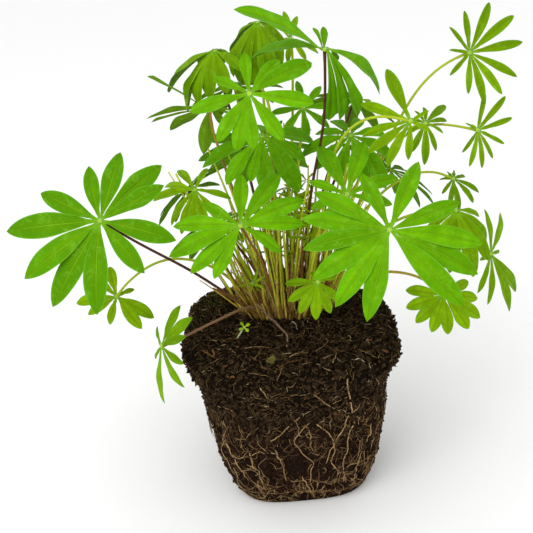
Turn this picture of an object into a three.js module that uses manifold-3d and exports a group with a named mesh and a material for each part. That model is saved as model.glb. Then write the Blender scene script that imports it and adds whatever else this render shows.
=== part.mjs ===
// A young lupin plant lifted out of its pot: a tapered ball of compost held by a net of roots, a woody
// crown, and leaves on long stalks, each with a whorl of narrow leaflets round a small hub.
// Millimetres, +Z up. The origin is the centre of the root ball's flat underside. -Y is the front.
import * as THREE from 'three';
import { mergeVertices } from 'three/addons/utils/BufferGeometryUtils.js';
import Module from 'manifold-3d';

const wasm = await Module();
wasm.setup();
const { degToRad, lerp, radToDeg } = THREE.MathUtils;

// ---- Driving dimensions -------------------------------------------------------------------------

const GAP = 0.3; // between pieces that touch
const WELD = 1e-4; // points closer than this are one

// Root ball: half-widths of its rounded-square section at each height, as the pot moulded it.
const BALL_SECTIONS = [
  { z: 0, half: 49.5, squareness: 3.2 },
  { z: 14, half: 56.5, squareness: 3.2 },
  { z: 34, half: 61.5, squareness: 3.1 },
  { z: 50, half: 64.5, squareness: 3 },
  { z: 68, half: 66.5, squareness: 2.9 },
  { z: 84, half: 67.5, squareness: 2.8 },
  { z: 94, half: 69.5, squareness: 2.7 },
  { z: 103, half: 74, squareness: 2.7 },
  { z: 110, half: 78.5, squareness: 2.7 },
  { z: 116, half: 77, squareness: 2.8 },
  { z: 120, half: 68, squareness: 2.8 },
  { z: 122.5, half: 50, squareness: 2.5 },
  { z: 123.5, half: 26, squareness: 2.2 },
];
const BALL_TOP = 124;
const BALL_COLUMNS = 40;
const MOULDED_HEIGHT = 88; // the wall is smooth below this and crumbly above
const WALL_RELIEF = 0.5;
const CRUMB_RELIEF = 2.2;
const CRUMB_LIFT = 1.1;
// Waves round the ball and up it that make its lumps: how often, and how far each millimetre turns them.
const BROAD_LUMPS = { share: 0.55, around: 5, slant: 0.07, rise: 0.11, sway: 1.3, swayAround: 3 };
const FINE_LUMPS = { share: 0.45, around: 13, slant: -0.31, crossing: 9, crossingSlant: 0.23 };
const CORNER_BULGE = { heading: 127, spread: 20, reach: 12, above: 94 }; // loose compost at the back left
const LIFT_TURN = 1.7; // radians from the lumps that push out to those that push up
const LIFT_STRETCH = 3;

// Roots on the wall.
const ROOT_RADIUS = 0.9;
const ROOT_CLEARANCE = 1; // from a root's underside to the wall's facets
const ROOT_STRANDS = 14;
const ROOT_STRAND_STEPS = 6;
const ROOT_SIDES = 3;
const ROOT_LOW = [3, 5]; // a root's foot lies between these heights
const ROOT_HIGH = [84, 74]; // and its head between these
const ROOT_WANDER = 7; // degrees to each side
const ROOT_RING_HEIGHT = 11; // of the root that runs round the foot of the wall
const ROOT_RING_SWAY = { height: 2.5, waves: 3, start: 1 };
const ROOT_RING_STEPS = 26;
const ROOT_RING_TURN = Math.PI * 2 * 0.985; // its ends don't quite meet

// Crown: the woody stock in the soil.
const CROWN = { x: 0, y: 24, halfX: 39, halfY: 24, bottom: 110, top: 130 };
const CROWN_RINGS = [
  { share: 0.86, z: 110 }, { share: 1, z: 116 }, { share: 0.98, z: 124 }, { share: 0.84, z: 128.5 },
  { share: 0.5, z: 130 },
];
const CROWN_PEAK = 1; // how far the middle stands above the last ring
const CROWN_FLAT = 0.5; // share of the crown whose top is level
const CROWN_FALL = 4; // how steeply its height falls outside that
const CROWN_MIDDLE = new THREE.Vector2(CROWN.x, CROWN.y);
const CROWN_RIM = 0.82; // how far out stalks stand, as a share of the crown
const CROWN_FLARE = 0.012; // lean of a stalk for each millimetre from the crown's middle
const CROWN_COLUMNS = 16;
const GOLDEN_ANGLE = 2.39996;
const STUB_COUNT = 16;
const STUB_RADIUS = [1.28, 1.92];
const STUB_HEIGHT = [10, 21];
const STUB_DEPTH = 7; // below the crown's top
const STUB_SIDES = 3;
const STALK_SPACING = 6; // least distance between stalks where they leave the crown
const STUB_SPACING = 4.8; // least distance from an old stub to what stands beside it
const STALK_SOCKET = 5; // how deep a stalk stands in the crown
const PUSH_ROUNDS = 80; // of pushing crowded stalks apart
const SOCKET_REACH = 10; // how far a stalk's hole is cut along it
const CROWN_REACH = 0.2; // how far out a stalk starts, as a share of how far out its hub is

// Leaves.
const BLADE_HALF_THICKNESS = 0.4;
const HUB_RADIUS = 2.8;
const HUB_KNOB = 1.2;
const LEAFLET_WIDTH = 0.235; // of its length
const NEIGHBOUR_SHARE = 0.44; // of the angle to its neighbour that a leaflet's half may take
const WIDEST_AT = 1.45; // power that puts the widest place at 0.62 of the length
const FULLNESS = 0.85;
const LEAFLET_FOLD = 16; // degrees that each half is folded up
const DROOP_FOLD = 0.35; // degrees more for each degree that a leaflet hangs
const LEAFLET_TWIST = 9; // degrees to either side
const LEAFLET_SWEEP = 0.05; // of its length, to either side
const PITCH_SPREAD = 4; // degrees to either side
const BEND_SPREAD = 0.3; // of the bend
const WIDE_NOTCH = 24; // degrees to half of a gap that is too wide for one notch
const NOTCH_AT = 18; // degrees from a leaflet's middle to its notch beside a wide gap
const FULL_STATIONS = [0.34, 0.66, 0.88];
const PLAIN_STATIONS = [0.42, 0.76];
const SMALL_STATIONS = [0.6];
const STALK_RADIUS = 1.2;
const STALK_STEPS = 6;
const STALK_SIDES = 4;
const STALK_INSET = 0.7; // from a hub's middle down to its stalk's end

const FINISHES = {
  soil: { color: 0x2a1c12, roughness: 1 },
  root: { color: 0xb59b72, roughness: 0.8 },
  crown: { color: 0x8a6b32, roughness: 0.9 },
  dead: { color: 0x8d6a4a, roughness: 0.9 },
  mature: { color: 0x5fae16, roughness: 0.6 },
  deep: { color: 0x6e9a10, roughness: 0.6 },
  fresh: { color: 0x86bd1c, roughness: 0.6 },
  young: { color: 0x9cc832, roughness: 0.6 },
  scrap: { color: 0x6b6a2a, roughness: 0.8 },
  sprout: { color: 0x8cc43c, roughness: 0.6 },
};

// Where each feature's seeds start, and how far apart those of two roots or two leaves are.
const SEEDS = {
  stubRadius: 60, stubHeight: 90, rootFoot: 700, rootHead: 800, ringWave: 57, rootWander: 31, leaf: 100,
  pitch: 11, bend: 23, twist: 37, sweep: 53,
};

// Leaves, as seen from the front. hub: the centre of the whorl. face: [heading, tilt] in degrees of the
// upper side, where heading 0 looks to the front, 90 to +X, and tilt 90 looks up. leaflets: [angle,
// length] or [angle, length, pitch], the angle counted anticlockwise from the right. pitch lifts a
// leaflet off the leaf's plane where it starts, and bend turns it back along its length. elbow: the point
// that the stalk steers by. rise: how far the stalk goes straight, as a share of its reach. width: of a
// leaflet as a share of its length, and stations: the shares of its length where its blade has a row of
// points, each only where it isn't the usual one.
const LEAVES = [
  {
    name: 'leaf_left_large', hub: [-118, -50, 236], face: [-6, 34], pitch: 5, bend: 18, colour: 'mature',
    elbow: [-88, -37, 205], rise: 0.12, stations: FULL_STATIONS,
    leaflets: [[72, 49], [44, 55], [25, 48], [345, 52], [310, 46], [265, 62], [239, 65], [214, 63],
      [182, 66], [152, 48], [103, 39]],
  },
  {
    name: 'leaf_left_low', hub: [-124, 10, 153], face: [0, 45], pitch: 0, bend: 15, colour: 'fresh',
    elbow: [-100, 14, 187], rise: 0.62,
    leaflets: [[102, 26], [135, 22], [180, 32], [209, 25], [251, 22], [301, 31], [327, 32], [22, 14]],
  },
  {
    name: 'leaf_left_middle', hub: [-57, 0, 233], face: [-10, 52], pitch: -14, bend: 26, colour: 'fresh',
    elbow: [-54, 8, 200], rise: 0.4,
    leaflets: [[75, 25], [123, 32], [155, 34], [176, 38], [226, 31], [251, 33], [271, 30], [291, 30],
      [313, 30], [358, 27]],
  },
  {
    name: 'leaf_centre_large', hub: [-27, -47, 222], face: [0, 46], pitch: 3, bend: 20, colour: 'mature',
    elbow: [-15, -22, 186], rise: 0.25, stations: FULL_STATIONS,
    leaflets: [[85, 41], [52, 48], [23, 48], [0, 43], [330, 34, -20], [240, 40], [221, 46], [196, 52],
      [170, 46], [142, 32]],
  },
  {
    name: 'leaf_upper_centre', hub: [-13, -42, 309], face: [0, 36], pitch: 2, bend: 24, colour: 'mature',
    elbow: [8, 60, 302], rise: 0.7, width: 0.28, stations: FULL_STATIONS,
    leaflets: [[148, 26], [192, 40], [229, 37], [250, 38], [267, 36], [300, 37], [346, 42], [28, 48],
      [50, 33], [93, 29]],
  },
  {
    name: 'leaf_top_arched', hub: [39, -6, 324], face: [25, 68], pitch: -12, bend: 38, colour: 'mature',
    elbow: [37, -8, 250], rise: 0.5, stations: FULL_STATIONS,
    leaflets: [[25, 26, -30], [68, 18, 50], [98, 18, 60], [124, 64, -14], [155, 67, 36], [272, 51, -50],
      [288, 51, -40], [303, 54, -40], [345, 62, -22]],
  },
  {
    name: 'leaf_top_umbrella', hub: [-3, 60, 332], face: [0, 76], pitch: -36, bend: 34, colour: 'deep',
    elbow: [-3, 54, 288], rise: 0.45, width: 0.3,
    leaflets: [[162, 38], [216, 43], [240, 46], [261, 47], [283, 44], [306, 38], [340, 28], [50, 28],
      [106, 28]],
  },
  {
    name: 'leaf_upper_left_umbrella', hub: [-34, 28, 322], face: [-20, 74], pitch: -38, bend: 30,
    colour: 'deep', elbow: [-31, 46, 276], rise: 0.45, width: 0.3,
    leaflets: [[146, 28, -36], [184, 52, -28], [210, 50, -40], [237, 40], [266, 34], [297, 32],
      [338, 24, -20], [45, 26], [105, 28]],
  },
  {
    name: 'leaf_left_underside', hub: [-41, 15, 286], face: [172, 60], pitch: -6, bend: 12, colour: 'deep',
    elbow: [-45, 24, 250], rise: 0.45,
    leaflets: [[35, 48], [5, 42], [355, 53, 38], [322, 44], [290, 39, -40], [256, 28, -20], [70, 32],
      [120, 28], [175, 24], [216, 24]],
  },
  {
    name: 'leaf_centre_hanging', hub: [-7, 6, 265], face: [0, 60], pitch: -20, bend: 26, colour: 'mature',
    elbow: [-6, 12, 236], rise: 0.45, width: 0.32,
    leaflets: [[186, 50], [220, 42], [247, 33], [271, 41], [305, 47], [342, 36], [20, 52], [86, 28],
      [134, 30]],
  },
  {
    name: 'leaf_right_centre', hub: [90, -32, 278], face: [-14, 40], pitch: -2, bend: 18, colour: 'fresh',
    elbow: [37, -20, 296], rise: 0.72, stations: FULL_STATIONS,
    leaflets: [[115, 44], [158, 38], [192, 34], [219, 35], [243, 34], [270, 26], [330, 16, 20],
      [22, 14, 30]],
  },
  {
    name: 'leaf_right_centre_small', hub: [106, 8, 263], face: [20, 50], pitch: -8, bend: 20, colour: 'deep',
    elbow: [76, 10, 262], rise: 0.5,
    leaflets: [[6, 22], [31, 30], [62, 20], [95, 14], [140, 14], [190, 16], [226, 24], [250, 30],
      [275, 21], [328, 16]],
  },
  {
    name: 'leaf_far_right_top', hub: [142, 30, 304], face: [10, 28], pitch: 6, bend: 16, colour: 'fresh',
    elbow: [98, 24, 298], rise: 0.5, width: 0.17, stations: FULL_STATIONS,
    leaflets: [[3, 42], [32, 45], [56, 42], [88, 30], [119, 23], [166, 15], [220, 22], [257, 29],
      [278, 37], [299, 37], [325, 38]],
  },
  {
    name: 'leaf_far_right', hub: [143, 10, 254], face: [12, 30], pitch: 2, bend: 16, colour: 'fresh',
    elbow: [88, 26, 270], rise: 0.74, width: 0.16,
    leaflets: [[8, 29], [40, 34], [72, 27, 20], [138, 10], [226, 20], [247, 27], [269, 27], [290, 23],
      [323, 22]],
  },
  {
    name: 'leaf_right_small', hub: [127, 20, 216], face: [20, 45], pitch: -10, bend: 28, colour: 'deep',
    elbow: [99, 20, 240], rise: 0.55,
    leaflets: [[8, 15], [60, 8, 10], [110, 7, 20], [160, 10], [216, 14], [244, 20], [263, 24],
      [306, 25], [329, 24]],
  },
  {
    name: 'leaf_right_umbrella', hub: [121, -20, 207], face: [10, 62], pitch: -26, bend: 22, colour: 'deep',
    elbow: [104, -12, 214], rise: 0.36,
    leaflets: [[190, 30], [222, 38], [250, 44], [276, 48], [302, 42], [330, 34], [5, 24], [70, 18],
      [130, 22]],
  },
  {
    name: 'leaf_right_front_large', hub: [66, -90, 227], face: [2, 36], pitch: 4, bend: 16, colour: 'mature',
    elbow: [50, -58, 206], rise: 0.3, stations: FULL_STATIONS,
    leaflets: [[61, 50], [15, 49], [349, 60], [330, 63], [306, 66], [247, 60], [227, 60], [205, 58],
      [184, 56], [164, 56], [146, 54], [107, 42]],
  },
  {
    name: 'leaf_crown_front', hub: [22, -28, 167], face: [0, 50], pitch: -10, bend: 16, colour: 'fresh',
    elbow: [14, -14, 160], rise: 0.3,
    leaflets: [[172, 24], [207, 25], [233, 26], [259, 27], [286, 24], [316, 21], [20, 15], [110, 11]],
  },
  {
    name: 'leaf_right_low', hub: [105, -55, 161], face: [6, 42], pitch: -4, bend: 18, colour: 'fresh',
    elbow: [84, -32, 186], rise: 0.34, width: 0.27,
    leaflets: [[160, 26], [190, 27], [217, 27], [243, 27], [268, 27], [301, 29], [325, 30], [350, 26],
      [22, 23], [95, 18]],
  },
  {
    name: 'leaf_right_edge', hub: [147, -10, 168], face: [40, 20], pitch: -8, bend: 14, colour: 'deep',
    elbow: [134, -2, 228], rise: 0.66,
    leaflets: [[59, 35], [30, 45], [350, 16], [307, 54], [286, 52], [259, 38], [236, 30],
      [178, 18, 20]],
  },
  {
    name: 'leaf_centre_right', hub: [45, -42, 235], face: [0, 50], pitch: 4, bend: 20, colour: 'mature',
    elbow: [38, -22, 212], rise: 0.42,
    leaflets: [[18, 37], [69, 46], [108, 47], [150, 28], [195, 26], [225, 24], [255, 24], [285, 24],
      [343, 31]],
  },
  {
    name: 'leaf_centre_dark', hub: [54, 8, 259], face: [0, 58], pitch: -18, bend: 22, colour: 'mature',
    elbow: [47, 12, 232], rise: 0.46,
    leaflets: [[173, 42], [212, 34], [246, 34], [280, 36], [308, 45], [340, 34], [20, 30], [65, 30],
      [110, 32], [142, 32]],
  },
  {
    name: 'leaf_inner_top', hub: [25, 58, 268], face: [8, 44], pitch: 0, bend: 16, colour: 'mature',
    elbow: [22, 54, 238], rise: 0.46,
    leaflets: whorl(8, 25, 88),
  },
  {
    name: 'leaf_inner_back', hub: [21, 86, 313], face: [0, 60], pitch: -16, bend: 22, colour: 'fresh',
    elbow: [24, 74, 272], rise: 0.48,
    leaflets: [[72, 21, 30], [96, 23, 40], [120, 22, 30], [172, 15], [258, 20], [303, 20], [341, 24]],
  },
  {
    name: 'leaf_young_left', hub: [-24, 0, 158], face: [0, 60], pitch: 34, bend: 10, colour: 'young',
    elbow: [-22, 6, 148], rise: 0.3, stations: SMALL_STATIONS,
    leaflets: whorl(7, 13, 5),
  },
  {
    name: 'leaf_young_right', hub: [9, 0, 200], face: [0, 62], pitch: 30, bend: 10, colour: 'young',
    elbow: [9, 6, 180], rise: 0.4, stations: SMALL_STATIONS,
    leaflets: whorl(7, 14, 20),
  },
  {
    name: 'leaf_beside_soil', hub: [-90, -46, 138], face: [-58, 22], pitch: -4, bend: 12, colour: 'deep',
    elbow: [-58, -30, 138], rise: 0.3, width: 0.28,
    leaflets: [[77, 33], [54, 35], [34, 26], [349, 25], [325, 36], [279, 42], [244, 14], [150, 18]],
  },
  // The back of the plant.
  {
    name: 'leaf_back_left_low', hub: [-48, 88, 172], face: [205, 46], pitch: -4, bend: 22, colour: 'mature',
    elbow: [-40, 68, 176], rise: 0.42,
    leaflets: whorl(10, 44, 12),
  },
  {
    name: 'leaf_back_left', hub: [-66, 62, 212], face: [232, 44], pitch: -2, bend: 20, colour: 'mature',
    elbow: [-52, 52, 196], rise: 0.42,
    leaflets: whorl(9, 36, 28),
  },
  {
    name: 'leaf_back_centre', hub: [-10, 118, 222], face: [184, 40], pitch: 2, bend: 20, colour: 'mature',
    elbow: [-8, 92, 214], rise: 0.44,
    leaflets: whorl(10, 50, 2),
  },
  {
    name: 'leaf_back_right_low', hub: [42, 92, 166], face: [160, 48], pitch: -6, bend: 22, colour: 'mature',
    elbow: [36, 74, 172], rise: 0.42,
    leaflets: whorl(10, 42, 20),
  },
  {
    name: 'leaf_back_right', hub: [90, 82, 206], face: [128, 42], pitch: 0, bend: 20, colour: 'mature',
    elbow: [70, 66, 194], rise: 0.4,
    leaflets: whorl(10, 46, 8),
  },
  {
    name: 'leaf_back_right_top', hub: [66, 96, 258], face: [146, 52], pitch: -4, bend: 22, colour: 'deep',
    elbow: [54, 76, 240], rise: 0.46,
    leaflets: whorl(9, 38, 16),
  },
  {
    name: 'leaf_back_top', hub: [-24, 92, 280], face: [196, 56], pitch: -8, bend: 24, colour: 'deep',
    elbow: [-20, 74, 256], rise: 0.46,
    leaflets: whorl(9, 38, 4),
  },
];

// What lies and grows on the compost. The seedling is a leaf with a stem of its own.
const DEAD_STALK = {
  radius: 1.3, steps: 8, sides: 5,
  route: [[-10, -4.5, 127], [-6.5, -12, 125.2], [-2.5, -23, 124.4], [-3.5, -38, 123.4]],
};
const SEEDLING = {
  hub: [-32.5, -18, 132], face: [10, 58], pitch: 16, bend: 14, seed: 99, hubRadius: 1.1, width: 0.4,
  stations: SMALL_STATIONS, leaflets: whorl(4, 5, 25),
};
const SEEDLING_STEM = { root: [-43, -19, 117], radius: 0.6, sides: 4 };
const SCRAP = { at: [-13, -52, 121.8], length: 15, width: 7, thickness: 0.8, turn: 30, tilt: 32 };
// The scrap's outline, as shares of half its length and half its width.
const SCRAP_OUTLINE = [[-1, 0], [-0.3, -1], [0.5, -0.8], [1, 0.2], [0.2, 1], [-0.6, 0.7]];

// ---- Seeded draws -------------------------------------------------------------------------------

/** A repeatable draw from 0 to 1 for a whole number. */
function draw(seed) {
  let t = Math.imul(seed ^ 0x9e3779b9, 0x85ebca6b) >>> 0;
  t = Math.imul(t ^ (t >>> 13), 0xc2b2ae35) >>> 0;
  t = (t ^ (t >>> 16)) >>> 0;
  return t / 2 ** 32;
}

/** A repeatable draw from -1 to 1. */
function swing(seed) {
  return draw(seed) * 2 - 1;
}

/** Evenly spaced leaflets of one length, the first at the given angle. */
function whorl(count, length, first) {
  return Array.from({ length: count }, (_, i) => [first + (360 / count) * i, length]);
}

// ---- Solids -------------------------------------------------------------------------------------

/** A closed geometry as a solid that can be joined or cut. */
function solid(geometry) {
  geometry.deleteAttribute('normal');
  geometry.deleteAttribute('uv');
  const welded = mergeVertices(geometry, WELD);
  return new wasm.Manifold(new wasm.Mesh({
    numProp: 3,
    vertProperties: new Float32Array(welded.attributes.position.array),
    triVerts: new Uint32Array(welded.index.array),
  }));
}

/** A solid as a geometry. */
function geometryOf(body) {
  const mesh = body.getMesh();
  const geometry = new THREE.BufferGeometry();
  geometry.setAttribute('position', new THREE.BufferAttribute(new Float32Array(mesh.vertProperties), 3));
  geometry.setIndex(new THREE.BufferAttribute(new Uint32Array(mesh.triVerts), 1));
  geometry.computeVertexNormals();
  return geometry;
}

/** A geometry from lists of points and triangles. */
function indexedGeometry(points, triangles) {
  const geometry = new THREE.BufferGeometry();
  geometry.setAttribute('position', new THREE.Float32BufferAttribute(points.flatMap((p) => p.toArray()), 3));
  geometry.setIndex(triangles);
  return geometry;
}

/** A tube of a few sides along a curve, closed at both ends. */
function tube(curve, radius, steps, sides) {
  const section = new THREE.Shape();
  for (let i = 0; i < sides; i += 1) {
    const angle = (i / sides) * Math.PI * 2;
    const point = [radius * Math.cos(angle), radius * Math.sin(angle)];
    if (i === 0) section.moveTo(...point);
    else section.lineTo(...point);
  }
  section.closePath();
  return new THREE.ExtrudeGeometry(section, { steps, extrudePath: curve, bevelEnabled: false });
}

/** A stack of closed rings with a flat fan over each end. */
function stacked(rings, lowCentre, highCentre) {
  const columns = rings[0].length;
  const points = rings.flat();
  const triangles = [];
  for (let row = 0; row + 1 < rings.length; row += 1) {
    for (let column = 0; column < columns; column += 1) {
      const next = (column + 1) % columns;
      const [a, b] = [row * columns + column, row * columns + next];
      const [c, d] = [a + columns, b + columns];
      triangles.push(a, b, d, a, d, c);
    }
  }
  const low = points.push(lowCentre) - 1;
  const high = points.push(highCentre) - 1;
  const top = (rings.length - 1) * columns;
  for (let column = 0; column < columns; column += 1) {
    const next = (column + 1) % columns;
    triangles.push(low, next, column);
    triangles.push(high, top + column, top + next);
  }
  return indexedGeometry(points, triangles);
}

// ---- Root ball ----------------------------------------------------------------------------------

/** The radius of a rounded square at an angle. */
function roundedSquare(half, squareness, angle) {
  const x = Math.abs(Math.cos(angle) / half) ** squareness;
  const y = Math.abs(Math.sin(angle) / half) ** squareness;
  return (x + y) ** (-1 / squareness);
}

/** Lumps and hollows of the compost, from -1 to 1. */
function lumps(angle, z) {
  const [b, f] = [BROAD_LUMPS, FINE_LUMPS];
  const broad = Math.sin(b.around * angle + b.slant * z)
    * Math.sin(b.rise * z + b.sway * Math.sin(b.swayAround * angle));
  const fine = Math.sin(f.around * angle + f.slant * z) * Math.cos(f.crossing * angle + f.crossingSlant * z);
  return b.share * broad + f.share * fine;
}

/** A point on the root ball's surface for one section and angle. */
function ballPoint(section, angle) {
  const crumbly = section.z > MOULDED_HEIGHT;
  const relief = section.z === 0 ? 0 : (crumbly ? CRUMB_RELIEF : WALL_RELIEF) * lumps(angle, section.z);
  const away = (radToDeg(angle) - CORNER_BULGE.heading) / CORNER_BULGE.spread;
  const bulge = section.z > CORNER_BULGE.above ? CORNER_BULGE.reach * Math.exp(-away * away) : 0;
  const radius = roundedSquare(section.half, section.squareness, angle) + relief + bulge;
  const lift = crumbly ? CRUMB_LIFT * lumps(angle + LIFT_TURN, section.z * LIFT_STRETCH) : 0;
  return new THREE.Vector3(radius * Math.cos(angle), radius * Math.sin(angle), section.z + lift);
}

function ballRings() {
  return BALL_SECTIONS.map((section) => Array.from(
    { length: BALL_COLUMNS },
    (_, column) => ballPoint(section, (column / BALL_COLUMNS) * Math.PI * 2),
  ));
}

function rootBall(cutters) {
  const body = stacked(ballRings(), new THREE.Vector3(0, 0, 0), new THREE.Vector3(0, 0, BALL_TOP));
  return cutters.reduce((left, cutter) => left.subtract(cutter), solid(body));
}

// ---- Roots on the wall --------------------------------------------------------------------------

/** The wall's section at a height, between the sections that are given. */
function sectionAt(z) {
  const above = BALL_SECTIONS.findIndex((section) => section.z >= z);
  const high = BALL_SECTIONS[Math.max(above, 1)];
  const low = BALL_SECTIONS[Math.max(above, 1) - 1];
  const share = (z - low.z) / (high.z - low.z);
  return {
    z,
    half: lerp(low.half, high.half, share),
    squareness: lerp(low.squareness, high.squareness, share),
  };
}

/** A point on a root's centre line, which lies just off the wall. */
function rootPoint(angle, z) {
  const { half, squareness } = sectionAt(z);
  const radius = roundedSquare(half, squareness, angle) + ROOT_RADIUS + ROOT_CLEARANCE;
  return new THREE.Vector3(radius * Math.cos(angle), radius * Math.sin(angle), z);
}

/** A root that comes down the wall. */
function rootStrand(index) {
  const start = ((index + 0.5) / ROOT_STRANDS) * 360;
  const foot = lerp(...ROOT_LOW, draw(index + SEEDS.rootFoot));
  const head = lerp(...ROOT_HIGH, draw(index + SEEDS.rootHead));
  const points = [];
  for (let step = 0; step <= ROOT_STRAND_STEPS; step += 1) {
    const angle = degToRad(start + ROOT_WANDER * swing(index * SEEDS.rootWander + step));
    points.push(rootPoint(angle, lerp(head, foot, step / ROOT_STRAND_STEPS)));
  }
  return solid(tube(new THREE.CatmullRomCurve3(points), ROOT_RADIUS, ROOT_STRAND_STEPS, ROOT_SIDES));
}

/** The root that runs round the wall. */
function rootRing() {
  const points = [];
  for (let step = 0; step <= ROOT_RING_STEPS; step += 1) {
    const turn = (step / ROOT_RING_STEPS) * ROOT_RING_TURN;
    const sway = ROOT_RING_SWAY.height * Math.sin(turn * ROOT_RING_SWAY.waves + ROOT_RING_SWAY.start);
    points.push(rootPoint(turn, ROOT_RING_HEIGHT + sway + swing(SEEDS.ringWave + step)));
  }
  return solid(tube(new THREE.CatmullRomCurve3(points), ROOT_RADIUS, ROOT_RING_STEPS, ROOT_SIDES));
}

function roots() {
  const strands = Array.from({ length: ROOT_STRANDS }, (_, index) => rootStrand(index));
  return strands.reduce((joined, root) => joined.add(root), rootRing());
}

// ---- Crown --------------------------------------------------------------------------------------

/** A ring of the crown, grown by a margin. */
function crownRing(share, z, margin) {
  return Array.from({ length: CROWN_COLUMNS }, (_, column) => {
    const angle = (column / CROWN_COLUMNS) * Math.PI * 2;
    return new THREE.Vector3(
      CROWN.x + (CROWN.halfX * share + margin) * Math.cos(angle),
      CROWN.y + (CROWN.halfY * share + margin) * Math.sin(angle),
      z,
    );
  });
}

/** The crown's woody stock, with flat top and base. */
function stock(margin) {
  const last = CROWN_RINGS.length - 1;
  const height = (z, index) => z + (index === 0 ? -margin : 0) + (index === last ? margin : 0);
  return solid(stacked(
    CROWN_RINGS.map(({ share, z }, index) => crownRing(share, height(z, index), margin)),
    new THREE.Vector3(CROWN.x, CROWN.y, CROWN.bottom - margin),
    new THREE.Vector3(CROWN.x, CROWN.y, CROWN.top + CROWN_PEAK + margin),
  ));
}

/** The height of the crown's top below a place in plan. */
function crownHeight(x, y) {
  const out = Math.hypot((x - CROWN.x) / CROWN.halfX, (y - CROWN.y) / CROWN.halfY);
  return CROWN.top - CROWN_FALL * Math.max(0, out - CROWN_FLAT);
}

/** Places in plan for the stalks, then for the old stubs, pushed apart inside the crown's rim. */
function standingPlaces() {
  const places = LEAVES.map(({ hub }) => ({
    at: new THREE.Vector2(hub[0], hub[1]).sub(CROWN_MIDDLE).multiplyScalar(CROWN_REACH),
    stub: false,
  }));
  for (let index = 0; index < STUB_COUNT; index += 1) {
    const angle = index * GOLDEN_ANGLE;
    const out = Math.sqrt((index + 0.5) / STUB_COUNT);
    places.push({
      at: new THREE.Vector2(CROWN.halfX * out * Math.cos(angle), CROWN.halfY * out * Math.sin(angle)),
      stub: true,
    });
  }
  for (let round = 0; round < PUSH_ROUNDS; round += 1) {
    places.forEach((one, i) => places.slice(i + 1).forEach((other) => {
      const apart = other.at.clone().sub(one.at);
      const least = one.stub || other.stub ? STUB_SPACING : STALK_SPACING;
      const push = (least - apart.length()) / 2;
      if (push > 0) {
        apart.setLength(push);
        other.at.add(apart);
        one.at.sub(apart);
      }
    }));
    places.forEach(({ at }) => {
      const out = Math.hypot(at.x / CROWN.halfX, at.y / CROWN.halfY) / CROWN_RIM;
      if (out > 1) at.divideScalar(out);
    });
  }
  return places.map(({ at }) => at.add(CROWN_MIDDLE));
}

/** The way that a stalk or stub leaves the crown: up, and outwards near the rim. */
function standingDirection(foot) {
  const out = foot.clone().sub(CROWN_MIDDLE).multiplyScalar(CROWN_FLARE);
  return new THREE.Vector3(out.x, out.y, 1).normalize();
}

/** The broken base of an old stalk. */
function stub(foot, index) {
  const height = lerp(...STUB_HEIGHT, draw(index + SEEDS.stubHeight));
  const radius = lerp(...STUB_RADIUS, draw(index + SEEDS.stubRadius));
  const low = new THREE.Vector3(foot.x, foot.y, CROWN.top - STUB_DEPTH);
  const high = low.clone().addScaledVector(standingDirection(foot), height + STUB_DEPTH);
  return solid(tube(new THREE.LineCurve3(low, high), radius, 1, STUB_SIDES));
}

/** The crown with its old stubs and a plain hole for each living stalk. */
function crown(stalkFeet, stubFeet) {
  const joined = stubFeet.reduce((body, foot, index) => body.add(stub(foot, index)), stock(0));
  return LEAVES.reduce((body, leaf, index) => body.subtract(socket(leaf, stalkFeet[index])), joined);
}

// ---- Leaves -------------------------------------------------------------------------------------

/** The directions of a leaf: right and up in its plane, and out of its upper side. */
function leafAxes([heading, tilt]) {
  const h = degToRad(heading);
  const t = degToRad(tilt);
  const normal = new THREE.Vector3(Math.sin(h) * Math.cos(t), -Math.cos(h) * Math.cos(t), Math.sin(t));
  const right = new THREE.Vector3(Math.cos(h), Math.sin(h), 0);
  return { right, up: normal.clone().cross(right), normal };
}

/** The centre line of a leaf's stalk, from its socket in the crown to the hub. */
function stalkCurve(leaf, foot) {
  const hub = new THREE.Vector3(...leaf.hub);
  const { normal } = leafAxes(leaf.face);
  const start = new THREE.Vector3(foot.x, foot.y, crownHeight(foot.x, foot.y) - STALK_SOCKET + GAP);
  const reach = start.distanceTo(hub);
  const rise = start.clone().addScaledVector(standingDirection(foot), leaf.rise * reach);
  const end = hub.clone().addScaledVector(normal, -STALK_INSET);
  return new THREE.CubicBezierCurve3(start, rise, new THREE.Vector3(...leaf.elbow), end);
}

/** A leaflet's half-width at a share of its length, where the widest place is 1. */
function outline(share) {
  return Math.sin(Math.PI * share ** WIDEST_AT) ** FULLNESS;
}

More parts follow.
